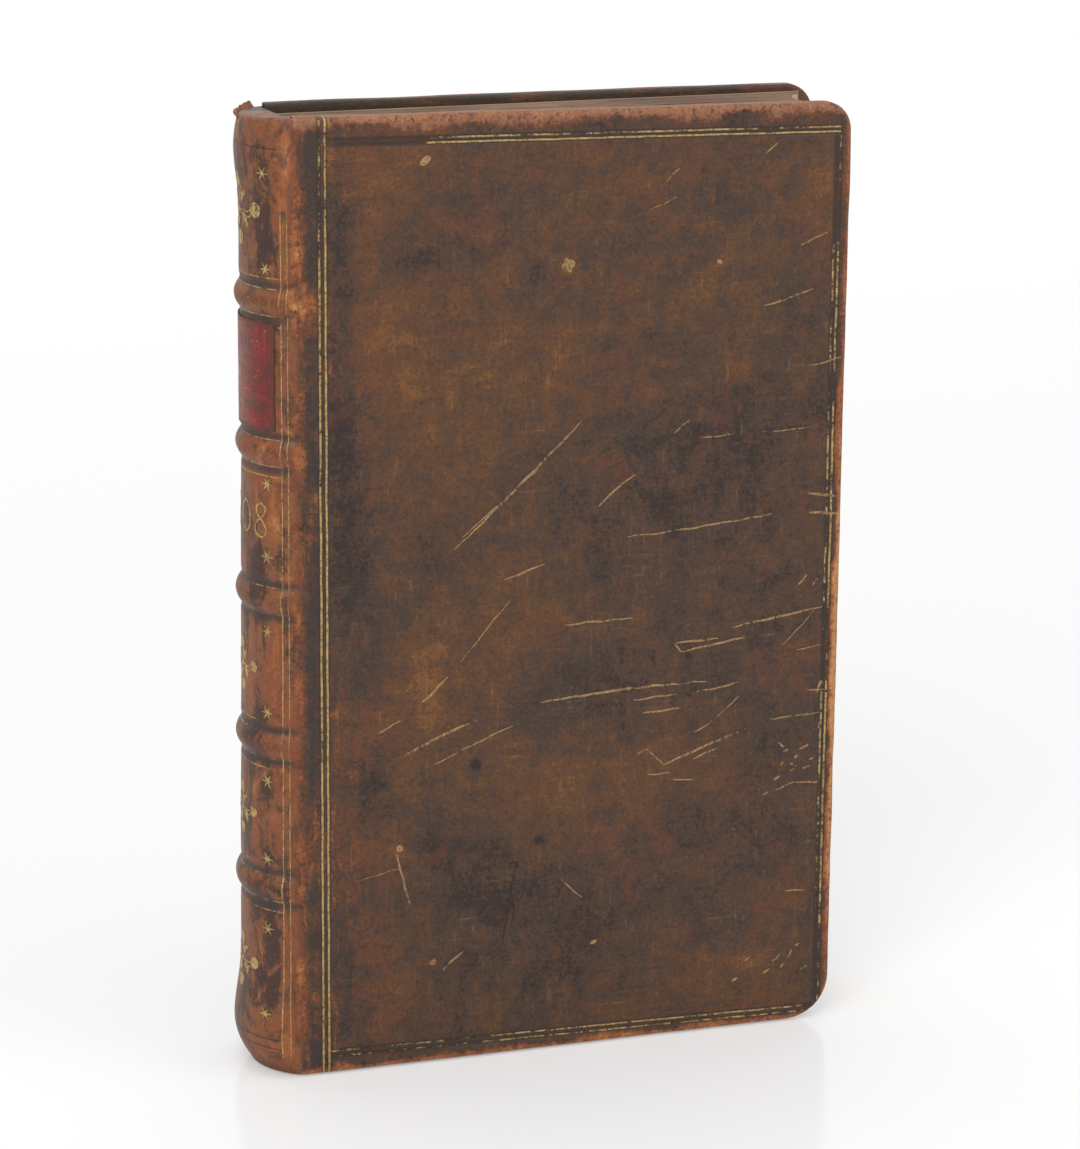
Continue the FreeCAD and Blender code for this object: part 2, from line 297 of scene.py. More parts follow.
patches = {
    # (from the joint, height, half width, half height, strength); light above 0, dark below
    -1: [
        (16.9, 164.1, 11, 9, 0.7), (11.5, 152.3, 3, 14, 0.8), (14.2, 135.6, 9, 8, 0.7),
        (22.2, 119.3, 11, 14, 0.7), (36.7, 129.0, 14, 10, 0.5), (54.7, 156.2, 16, 8, 0.35),
        (96.2, 155.9, 4, 8, 0.8), (81.8, 125.8, 3, 4, 0.5), (24.1, 77.6, 10, 10, 0.6),
        (40.7, 81.7, 10, 10, 0.5), (23.2, 62.0, 13, 9, 0.9), (48.5, 47.4, 14, 9, 0.7),
        (14.9, 41.4, 5, 8, 1.0), (18.6, 12.6, 8, 7, 0.8), (65.7, 49.6, 10, 7, 0.4),
        (82.0, 13.1, 9, 4, 0.7), (49.0, 145.1, 1.6, 1.6, 1.6), (77.2, 144.1, 1.5, 1.2, 0.7),
        (31.4, 100.7, 8, 10, 0.4), (73.1, 162.3, 12, 5, 0.3), (8.9, 149.8, 4, 14, -1.0),
        (8.6, 120.2, 3, 28, -0.9), (22.2, 149.1, 8, 5, -0.8), (9.5, 87.9, 7, 18, -0.9),
        (13.4, 52.7, 4, 12, -0.9), (28.8, 38.1, 12, 9, -0.8), (74.8, 78.9, 24, 36, -0.24),
        (62.9, 105.7, 20, 16, -0.3), (91.0, 47.1, 14, 26, -0.2), (32.9, 157.3, 9, 5, -0.7),
        (24.1, 94.0, 6, 10, -0.5), (54.0, 65.7, 12, 7, -0.5), (56.5, 23.7, 20, 14, -0.35),
        (8.3, 17.5, 4, 14, -0.6), (85.4, 115.1, 12, 12, -0.28), (43.9, 139.2, 9, 7, -0.3),
        (32.7, 55.6, 1.1, 1.1, -2.2), (44.6, 40.1, 0.9, 0.9, -2.0), (18.4, 41.4, 0.9, 0.9, 2.4),
        (24.7, 19.1, 1.0, 0.6, 1.5),
    ],
    1: [
        (22, 150, 14, 12, 0.7), (60, 132, 20, 12, 0.6), (85, 90, 10, 22, 0.7), (30, 84, 16, 14, 0.8),
        (55, 52, 18, 10, 0.6), (18, 28, 12, 12, 0.8), (80, 20, 16, 8, 0.6), (44, 110, 8, 8, 0.5),
        (10, 120, 5, 30, -0.8), (72, 152, 16, 10, -0.6), (50, 84, 16, 16, -0.7), (24, 52, 10, 10, -0.8),
        (90, 56, 9, 14, -0.6), (40, 20, 14, 10, -0.7), (66, 112, 10, 10, -0.5), (34, 130, 1.2, 1.2, -2.0),
    ],
    0: [
        # on the spine: the first number is the angle round it
        (20, 168, 20, 4, -0.5), (34, 152, 14, 9, -0.9), (5, 156, 14, 8, -0.4), (50, 158, 8, 10, 0.8),
        (54, 165, 6, 5, 1.1), (-30, 158, 20, 8, 0.5), (30, 108, 26, 5, 0.6), (-20, 98, 22, 7, -0.5),
        (22, 92, 14, 4, -0.5), (0, 75, 24, 9, 0.6), (44, 75, 8, 9, 0.5), (-35, 68, 14, 8, -0.7),
        (12, 66, 12, 4, -0.5), (24, 50, 14, 8, 0.4), (-10, 44, 20, 8, -0.5), (30, 24, 16, 8, -0.6),
        (0, 12, 30, 6, -0.4), (36, 16, 9, 5, -0.9), (-30, 20, 16, 9, 0.4), (48, 6, 14, 5, 0.9),
        (10, 79, 5, 5, -0.9), (26, 66, 12, 4, -1.1), (8, 84, 8, 3, -0.8), (40, 70, 5, 8, 0.7),
        (30, 54, 10, 6, -0.7), (12, 50, 6, 9, -0.9), (36, 42, 8, 5, -0.8), (26, 58, 9, 2.5, -1.0),
        (46, 46, 4, 9, 0.6), (24, 92, 9, 5, -0.8), (40, 104, 5, 6, 0.7), (10, 100, 6, 8, -0.5),
        (20, 32, 14, 3, -0.9), (8, 26, 7, 8, 0.6), (40, 24, 6, 8, -0.6),
    ],
}


def handTone(x, z, side):
    tone = 0.0
    for px, pz, rx, rz, strength in patches[side]:
        away = ((x - px) / rx) ** 2 + ((z - pz) / rz) ** 2
        if away < 6:
            tone += strength * math.exp(-away)
    return max(min(tone, 1.6), -1.6)


rubbing = {
    "foreZ": 68,               # where the fore-edge is rubbed most, and how far up and down
    "foreHalf": 36,
    "tailCorner": (1.5, 7, 7), # strength, half width, half height
    "headCorner": (0.9, 6, 5),
    "reach": 2.2,              # how far in from an edge
    "spineTailZ": (1.0, 7.0),
    "spineHeadZ": (168, 171.5),
    "bandHalf": 1.3,
    "ridgeX": 0.3,
    "ridgeHalf": 1.9,
    "bandEnds": [0.5, 0.25, 0.3, 0.4, 1.3],      # how hard each band end is rubbed, from the tail up
}


def handWear(x, y, z):
    # how far the surface is rubbed down to the pale leather
    t = rubbing
    side = -1 if y < 0 else 1
    top = coverTop(x, side)
    ragged = 1 + 0.6 * ripple(x, y, z, 7) + 0.35 * ripple(x, y, z, 2.2)
    if x > 0:
        foreRub = bell(z - t["foreZ"], t["foreHalf"])
        fromFore = book["coverWidth"] - x
        corner = 0
        for height, (strength, wide, tall) in ((2, t["tailCorner"]), (top, t["headCorner"])):
            corner += strength * bell(fromFore, wide) * bell(z - height, tall)
        reach = t["reach"] * ragged + 1.2 * corner
        wear = (0.85 + 0.75 * foreRub) * (1 - soft(fromFore / (1 + 0.35 * foreRub), 0.5, reach))
        wear = max(wear, 1.05 * (1 - soft(min((top - z) / 1.7, z * 0.9), 0.3, reach)))
    else:
        wear = 0.5 * (1 - soft(z, *t["spineTailZ"])) + 0.3 * soft(z, *t["spineHeadZ"])
        for height in book["cordHeights"]:
            wear += 0.5 * ragged * bell(z - height, t["bandHalf"])
    ridge = bell(x - t["ridgeX"], t["ridgeHalf"]) * (0.56 + 0.75 * ripple(0, side, z, 9)) * ragged
    for height, strength in zip(book["cordHeights"], t["bandEnds"]):
        wide = 1.6 + 1.4 * strength
        close = bell(x - 0.8 * strength, wide) * bell(z - height, 0.6 + wide)
        ridge = max(ridge, (0.4 + 0.65 * strength) * close * (ragged + 0.5 * ripple(z, x, y, 1.7)))
    return max(min(max(wear, ridge), 1.5), 0.0)


def paintSurface(piece):
    mesh = piece.data
    painted = {"tone": [], "wear": []}
    for vertex in mesh.vertices:
        x, y, z = vertex.co / mm
        fromJoint = x - book["jointX"]
        side = -1 if y < 0 else 1
        angle = math.degrees(math.atan2(-y, book["spineAxisX"] - x))
        share = soft(fromJoint, -1.0, 1.6)
        painted["tone"].append(handTone(angle, z, 0) * (1 - share) + handTone(fromJoint, z, side) * share)
        painted["wear"].append(handWear(fromJoint, y, z))
    for name, values in painted.items():
        layer = mesh.attributes.new(name, "FLOAT", "POINT")
        layer.data.foreach_set("value", values)


# shader building

def paint(red, green, blue):
    # a colour as read off a screen, for a shader
    def straight(part):
        part = part / 255
        return part / 12.92 if part <= 0.04045 else ((part + 0.055) / 1.055) ** 2.4
    return (straight(red), straight(green), straight(blue), 1.0)


class Value:
    # a shader socket that takes plain arithmetic
    def __init__(self, finish, socket):
        self.finish = finish
        self.socket = socket

    def __add__(self, other):
        return self.finish.maths("ADD", self, other)

    def __sub__(self, other):
        return self.finish.maths("SUBTRACT", self, other)

    def __rsub__(self, other):
        return self.finish.maths("SUBTRACT", other, self)

    def __mul__(self, other):
        return self.finish.maths("MULTIPLY", self, other)

    def __truediv__(self, other):
        return self.finish.maths("DIVIDE", self, other)

    def __abs__(self):
        return self.finish.maths("ABSOLUTE", self)

    def __neg__(self):
        return self * -1

    __radd__ = __add__
    __rmul__ = __mul__


class Finish:
    def __init__(self, name, roughness=0.6):
        self.material = bpy.data.materials.new(name)
        self.material.use_nodes = True
        self.tree = self.material.node_tree
        self.shader = self.tree.nodes["Principled BSDF"]
        self.preset({"Roughness": roughness})
        seat = self.node("ShaderNodeTexCoord", output="Object")
        self.place = self.node("ShaderNodeVectorMath", {"operation": "SCALE"}, {0: seat, "Scale": 1000})

    def node(self, kind, settings=(), inputs=(), output=0):
        made = self.tree.nodes.new(kind)
        for name, value in dict(settings).items():
            setattr(made, name, value)
        for name, value in dict(inputs).items():
            if isinstance(value, Value):
                self.tree.links.new(value.socket, made.inputs[name])
            else:
                made.inputs[name].default_value = value
        return Value(self, made.outputs[output])

    def preset(self, settings):
        # fixed values of the surface shader
        for name, value in settings.items():
            self.shader.inputs[name].default_value = value

    def polish(self, coat=0.06, coatRoughness=0.36):
        # the faint shine of handled leather
        self.preset({"Specular IOR Level": 0.3, "Coat Weight": coat, "Coat Roughness": coatRoughness})

    def maths(self, operation, *values):
        return self.node("ShaderNodeMath", {"operation": operation}, dict(enumerate(values)))

    def highest(self, first, *others):
        for other in others:
            first = self.maths("MAXIMUM", first, other)
        return first

    def parts(self, axes="XYZ"):
        return [self.node("ShaderNodeSeparateXYZ", (), {0: self.place}, axis) for axis in axes]

    def fade(self, value, low, high):
        # 0 at low, 1 at high, smooth between
        inputs = {"Value": value, "From Min": low, "From Max": high}
        return self.node("ShaderNodeMapRange", {"interpolation_type": "SMOOTHSTEP"}, inputs)

    def line(self, value, at, half):
        # 1 on a thin line, 0 off it
        return self.fade(abs(value - at), half * 1.25, half * 0.65)

    def mix(self, share, first, second):
        return self.node("ShaderNodeMix", {"data_type": "RGBA"}, {0: share, 6: first, 7: second}, 2)

    def tints(self, colour, *rows):
        # lay colours over one another; a row is a colour and its share, or
        # a colour, a value, where the colour starts and is full, and its strengths
        for over, share, *span in rows:
            if span:
                share = self.fade(share, *span[:2])
            for strength in span[2:]:
                share = share * strength
            colour = self.mix(share, colour, calfColours.get(over, over))
        return colour

    def cloud(self, size, detail=4, rough=0.55, warp=0.0, scale=None, shift=(0, 0, 0)):
        # noise whose blots are about this many mm across
        place = self.place
        if scale:
            inputs = {0: place, 1: scale, 2: shift}
            place = self.node("ShaderNodeVectorMath", {"operation": "MULTIPLY_ADD"}, inputs)
        inputs = {"Vector": place, "Scale": 1 / size, "Detail": detail, "Roughness": rough}
        inputs["Distortion"] = warp
        return self.node("ShaderNodeTexNoise", (), inputs, "Fac")

    def cells(self, size, feature="F1"):
        inputs = {"Vector": self.place, "Scale": 1 / size}
        return self.node("ShaderNodeTexVoronoi", {"feature": feature}, inputs, "Distance")

    def attribute(self, name):
        return self.node("ShaderNodeAttribute", {"attribute_name": name}, (), "Fac")

    def done(self, colour, relief, strength, depth, roughness=None, metallic=None):
        # connect it all; strength and depth in mm are the relief's
        inputs = {"Height": relief, "Strength": strength, "Distance": depth * mm}
        normal = self.node("ShaderNodeBump", (), inputs)
        fed = {"Base Color": colour, "Normal": normal, "Roughness": roughness, "Metallic": metallic}
        for name, value in fed.items():
            if value:
                self.tree.links.new(value.socket, self.shader.inputs[name])
        return self.material


# leather

calfColours = {
    "deep": paint(41, 29, 25),
    "dark": paint(69, 49, 37),
    # a grey-blue dark tone: random patches on the boards, and painted shade in the spine's band creases
    "coolToneAndCreaseShade": paint(54, 46, 42),
    "brown": paint(86, 56, 33),
    "golden": paint(112, 72, 34),
    "tan": paint(160, 124, 80),
    "rust": paint(108, 58, 33),
    "orange": paint(152, 90, 48),
    "rubbed": paint(188, 134, 84),
    "edge": paint(140, 95, 70),
    "spine": paint(131, 81, 49),
    "spineDark": paint(66, 43, 34),
    "spineRed": paint(124, 60, 34),
    # painted grey sheen for the rear side of the spine
    "paintedSheen": paint(108, 90, 76),
    "stain": paint(46, 39, 38),
    "turnIn": paint(100, 59, 37),
    # painted shade for the inside of the rear cover at the head, also laid on its head edge
    "greenBlack": paint(47, 44, 35),
    "gold": paint(192, 164, 102),
    "goldDull": paint(134, 108, 64),
}

calfNoises = {
    # size in mm, detail, roughness, warp, and how it is stretched and shifted
    "broad": (24, 6, 0.62, 0.5),
    "middle": (6.5, 8, 0.7, 0.9),
    "smoke": (2.8, 6, 0.7, 0.4, (1, 1, 0.5)),
    "grit": (0.8, 5, 0.72),
    "pits": (0.42, 3, 0.65),
    "streak": (2.2, 6, 0.7, 0.3, (1, 1, 0.12)),
    "scrape": (1.6, 5, 0.7, 0.2, (0.14, 1, 1)),
    "specks": (1.1, 4, 0.7, 0.3, (1, 1, 1), (5, 41, 3)),
    "hairs": (0.55, 4, 0.7, 0.5, (0.07, 1, 0.9), (9, 2, 4)),
    "nap": (0.6, 4, 0.7, 0.5, (0.9, 1, 0.08), (2, 8, 6)),
    "chill": (13, 6, 0.68, 0.8, (1, 1, 0.7), (17, 3, 29)),
    "rusty": (9, 7, 0.7, 0.6, (1, 1, 1), (31, 7, 12)),
    "blots": (3.6, 7, 0.7, 0.8, (1, 1, 0.7), (3, 17, 5)),
    "glow": (4.4, 6, 0.7, 0.9, (1, 1, 0.55), (23, 5, 31)),
    "breaks": (9, 6, 0.65, 0.4, (0.6, 0.6, 1), (3, 5, 9)),
}

calfPlaces = {
    # where each thing starts and where it is full, in mm; x is taken from the joint
    "outsideY": (8.35, 8.75),
    "spineX": (1.2, -0.6),
    "warmX": (24.0, 2.0),
    "stripX": (1.3, 2.1),
    "stripEndX": (5.2, 4.0),
    # where the painted sheen on the spine's rear side starts and is full, round the spine
    "sheenSide": (3.0, -3.5),
    "bandsTailZ": (27.0, 28.0),
    "bandsHeadZ": (149.0, 148.0),
    # where the painted shade in the crease beside each band starts and ends, away from the band
    "creaseIn": (1.9, 2.8),
    "creaseOut": (4.4, 2.9),
    "headZ": (163.0, 169.0),
    "ledgeZ": (170.5, 171.3),
    "ledgeInsideZ": (167.0, 168.0),
    "ledgeY": (4.0, 6.0),
    "ledgeEndX": (98.0, 84.0),
}


def calf(finish):
    # old sprinkled calf: colour, roughness and relief over the whole binding
    x, y, z = finish.parts()
    fade = finish.fade
    n = {name: finish.cloud(*values) for name, values in calfNoises.items()}
    tone, wear = finish.attribute("tone"), finish.attribute("wear")
    fromJoint = x - book["jointX"]

    def uneven(**shares):
        # the named noises, each round zero and times its share
        return sum((n[name] - 0.5) * share for name, share in shares.items())

    def at(name, value):
        return fade(value, *calfPlaces[name])

    outside = at("outsideY", abs(y))
    onSpine = at("spineX", fromJoint)

    # board: dark ground, worn to brown, golden and tan in grainy patches
    lightness = tone * 0.31 - 0.03 + uneven(broad=0.75, middle=1.15, smoke=0.6, grit=1.1, scrape=0.4, nap=0.3)
    warm = n["streak"] * 0.6 + n["middle"] * 0.4 + n["grit"] * 0.2 + tone * 0.1
    warm = fade(warm, 0.56, 0.7) * at("warmX", fromJoint)
    colour = finish.tints(
        calfColours["deep"],
        ("dark", lightness, -0.36, -0.12),
        ("coolToneAndCreaseShade", n["chill"], 0.47, 0.62, 0.42),
        ("brown", lightness, -0.06, 0.14),
        ("golden", lightness, 0.2, 0.42),
        ("tan", lightness, 0.54, 0.76, 0.8),
        ("rust", n["rusty"], 0.52, 0.66, 0.34),
        ("rust", warm * 0.7),
        ("orange", warm * (n["grit"] + 0.5), 0.6, 0.95, 0.6),
    )

    # spine: lighter, redder, streaked and stained, with a painted grey sheen on its rear side and painted
    # shade, darkest, in the creases beside the bands
    spineLight = tone * 0.42 + uneven(middle=1.4, streak=1.3, grit=0.7, smoke=0.7)
    around = finish.maths("ARCTAN2", -y, book["spineAxisX"] - x) * book["spineRadius"]
    first, second = book["cordHeights"][:2]
    half = (second - first) / 2
    inRow = finish.maths("WRAP", z, first + half, first - half) - first
    away = abs(inRow)
    bands = at("bandsTailZ", z) * at("bandsHeadZ", z)
    ragged = away + uneven(middle=1.6, smoke=1.2, grit=0.8)
    spine = finish.tints(
        calfColours["spine"],
        ("spineDark", spineLight, 0.04, -0.3),
        ("spineRed", spineLight + uneven(broad=1.8), -0.02, 0.26, 0.6),
        ("orange", spineLight, 0.18, 0.44, 0.8),
        ("rubbed", spineLight, 0.5, 0.74, 0.7),
        ("stain", n["blots"], 0.5, 0.62, 0.65),
        ("orange", n["glow"], 0.53, 0.66, 0.65),
        ("rubbed", n["glow"], 0.64, 0.74, 0.6),
        # painted sheen: a grey reflection laid over the rear side of the spine
        ("paintedSheen", at("sheenSide", around + uneven(smoke=7, middle=8)) * 0.5),
        # painted shade: a grey-blue dark colour laid in the crease beside each band
        ("coolToneAndCreaseShade", at("creaseIn", ragged) * at("creaseOut", ragged) * bands * 0.88),
    )

    # a dark stained strip runs up the cover beside the joint; edges and ridges are rubbed
    strip = at("stripX", fromJoint + uneven(streak=1.2)) * at("stripEndX", fromJoint)
    rub = wear + uneven(smoke=1.1, grit=1.3, streak=0.9, middle=0.6)
    atHead = at("headZ", z)
    bare = finish.mix(atHead * 0.85, calfColours["orange"], calfColours["edge"])
    colour = finish.tints(
        colour,
        (spine, onSpine),
        ("stain", strip * fade(n["breaks"], 0.42, 0.54) * 0.8),
        ("rust", rub, 0.32, 0.6, 0.7),
        (bare, rub, 0.55, 0.9, 0.85),
        ("rubbed", rub, 0.95, 1.3, 0.85, 1 - atHead * 0.6),
        ("spineDark", fade(n["specks"], 0.54, 0.62) * fade(wear, 0.35, 0.8) * 0.7),
    )

    # the turned-in leather inside keeps its first colour
    inside = finish.tints(calfColours["turnIn"], ("dark", n["middle"], 0.35, 0.65))
    colour = finish.mix(outside + onSpine, inside, colour)

    # the head edge of the rear cover and the top of its inside face are painted greenish black, with paler
    # lines along it; on the inside face, which looks on to the leaves, it is painted shade
    ledge = finish.highest(at("ledgeZ", z), at("ledgeInsideZ", z) * (1 - outside))
    ledge = ledge * at("ledgeY", y) * at("ledgeEndX", fromJoint + uneven(middle=30))
    ledge = ledge * fade(n["scrape"] + uneven(grit=0.5), 0.64, 0.52)

    # fine sprinkling, pores and fibres
    fibres = finish.highest(fade(n["hairs"], 0.6, 0.72), fade(n["nap"], 0.6, 0.72))
    colour = finish.tints(
        colour,
        ("greenBlack", ledge * 0.9),
        ("deep", n["pits"], 0.52, 0.66, 0.5 - onSpine * 0.28),
        ("golden", n["pits"], 0.45, 0.34, 0.25),
        ("tan", fibres * fade(n["middle"], 0.42, 0.6) * 0.26),
    )
    return n | {
        "x": fromJoint, "y": y, "z": z, "colour": colour, "outside": outside, "onSpine": onSpine,
        "rough": 0.5 + uneven(smoke=0.3, grit=0.25) + fade(rub, 0.6, 1.1) * 0.12,
        "relief": n["middle"] * 0.4 + n["grit"] * 0.5 + n["pits"] * 0.35,
        "away": away, "inRow": inRow, "bands": bands,
    }


goldWork = {
    "half": 0.19,              # half width of a line's gold, and of the burn it lies in
    "burnHalf": 0.46,
    "waver": 0.25,
    "uprightWorn": (0.53, 0.46, 0.63, 0.58),      # more is more worn, line by line
    "levelWorn": (0.58, 0.48, 0.64, 0.6),
    "worn": 0.12,
    "dullHeadZ": (140.0, 162.0),
    "dullLeftX": (18.0, 27.0),
    "pair": (10.95, 12.15),    # lines on the spine: round it from the back, and away from a band
    "feet": (2.35, 4.2),
    "ends": (5.4, 7.2, 167.4),
}


def gilding(finish, skin):
    # where gold leaf is left, and the dark burn beside it
    g = goldWork
    fade, line = finish.fade, finish.line
    x, z, bands = skin["x"], skin["z"], skin["bands"]
    shake = (finish.cloud(5, 2, 0.5) - 0.5) * g["waver"]
    kept = finish.cloud(16, 3, 0.6, 0.0, (1, 1, 1), (11, 3, 5)) * 0.6 + finish.cloud(1.3, 4, 0.75) * 0.7
    inZ = fade(z, 1.5, 1.9) * fade(z, 167.6, 167.2)
    inX = fade(x, 5.2, 5.4) * fade(x, 99.7, 99.5)
    atHead = kept - fade(z, *g["dullHeadZ"]) * 0.12
    atLeft = kept * (fade(x, *g["dullLeftX"]) * 0.5 + 0.5)
    lines = []
    for number, (place, worn) in enumerate(zip(tooling["upright"], g["uprightWorn"])):
        lines.append((x + shake, place, 1.0, atHead, worn, inZ if number > 1 else 1.0))
    for number, ((height, rise), worn) in enumerate(zip(tooling["level"], g["levelWorn"])):
        lines.append((z - x * rise + shake, height, 0.85, kept if number > 1 else atLeft, worn, inX))
    gold = burn = 0.0
    for value, place, thin, left, worn, reach in lines:
        gold = gold + line(value, place, g["half"] * thin) * fade(left, worn, worn + g["worn"]) * reach
        burn = burn + line(value, place, g["burnHalf"]) * reach
    board = (1 - skin["onSpine"]) * skin["outside"]

    # spine: a pair of upright lines beside the joint, and a line each side of every band
    around = finish.maths("ARCTAN2", skin["y"], book["spineAxisX"] - book["jointX"] - x) * book["spineRadius"]
    beside = abs(around) + shake * 0.5
    pair = line(beside, g["pair"][0], 0.1) + line(beside, g["pair"][1], 0.085) * 0.8
    pair = pair * fade(kept, 0.54, 0.68) * fade(x, 0.2, -0.1) * fade(z, 3, 5) * fade(z, 161, 153)
    within = fade(beside, 10.9, 10.7) * skin["onSpine"]
    foot = skin["away"] + shake * 0.5
    feet = line(foot, g["feet"][0], 0.09) + line(foot, g["feet"][1], 0.1)
    feet = feet * fade(kept, 0.6, 0.72) * bands * within
    zig = (finish.maths("PINGPONG", around, 0.9) - 0.45) * 1.5
    roll = fade(abs(skin["inRow"] - zig), 0.2, 0.1) * bands * within
    feet = feet + roll * fade(kept, 0.66, 0.78) * 0.8
    low, middle, high = g["ends"]
    ends = line(z + shake, low, 0.2) + line(z, middle, 0.2) + line(z + shake, high, 0.2)
    ends = ends * within * fade(kept, 0.5, 0.62)
    gold = finish.maths("MINIMUM", gold * board + pair + feet, 1.0)
    return gold, finish.maths("MINIMUM", burn * board + (ends + roll * 0.7) * 0.8, 1.0)


def leaf(finish, skin):
    # old gold leaf, bright in places
    return finish.tints(calfColours["goldDull"], ("gold", skin["pits"] * 0.5 + skin["grit"] * 0.5, 0.4, 0.58))


def calfFinish(name):
    finish = Finish(name)
    skin = calf(finish)
    gold, burn = gilding(finish, skin)
    colour = finish.tints(skin["colour"], ("deep", burn * 0.7), (leaf(finish, skin), gold * 0.92))
    finish.polish()
    relief = skin["relief"] - burn * 0.4
    return finish.done(colour, relief, 0.55, 0.2, skin["rough"] - gold * 0.12, gold * 0.4)


def markFinish(name, keep, metal=0.0, markColour=None):
    # a thin mark on the calf, of gold leaf or one colour: where it is rubbed away the calf shows
    finish = Finish(name)
    skin = calf(finish)
    left = skin["smoke"] * 0.4 + skin["grit"] * 0.6 + finish.cloud(6, 2) * 0.3
    left = finish.fade(left, keep, keep + 0.12)
    if metal:
        mark = leaf(finish, skin)
    else:
        mark = finish.tints(markColour, (skin["colour"], skin["pits"], 0.4, 0.6, 0.4))
    finish.polish()
    colour = finish.mix(left * 0.92, skin["colour"], mark)
    return finish.done(colour, skin["relief"], 0.4, 0.15, skin["rough"] - left * 0.1 * metal, left * metal)


print("finishes: calf")
coverCalf = calfFinish("sprinkledCalf")
goldMarks = markFinish("rubbedGold", 0.5, metal=0.35)
dullMarks = markFinish("dullGold", 0.53, metal=0.15)
scuffMarks = markFinish("scuffedLeather", 0.55, markColour=paint(164, 130, 86))
scarMarks = markFinish("darkScar", 0.5, markColour=paint(36, 26, 23))


def bentAt(piece, name, side, fromX, toX, y):
    # two places, in mm, give a start and an end for a bend from the block to a cover, but nothing bends: the
    # piece only has its transform baked
    start, end = (Vector((x * mm, side * y * mm, 0.08)) for x in (fromX, toX))
    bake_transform(piece)


def settle(piece, body, material, replaced=()):
    # give a piece its material, and its body if one is given
    piece.data.materials.clear()
    piece.data.materials.append(material)
    if body:
        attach(piece, body)
    if replaced:
        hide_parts(*replaced)
    print(piece.name, len(piece.data.polygons))


# covers

covers = {
    "front": {"side": -1, "cell": 1.25},       # cell: size of the net of cuts
    "rear": {"side": 1, "cell": 1.6},
}

coverShape = {
    "tailCorner": 8.0,
    "headCorner": 5.0,
    "innerRim": 0.45,
    "turnIn": 12.0,
    "thickness": 0.78,
    "rubbedIn": 0.35,          # how far a worn border has lost its leather
    "border": 2.2,
    "foreWaver": 0.12,
    "headWaver": 0.1,
    "facing": (1.2, 0.1),      # the leather lifts fully this near to the outer surface
}


def handEdge(x, z, side):
    # 1 on the rubbed border of a cover
    inward = min(book["coverWidth"] - x, book["headZ"][side] - z, z)
    return 1 - soft(inward, 0.3, coverShape["border"])


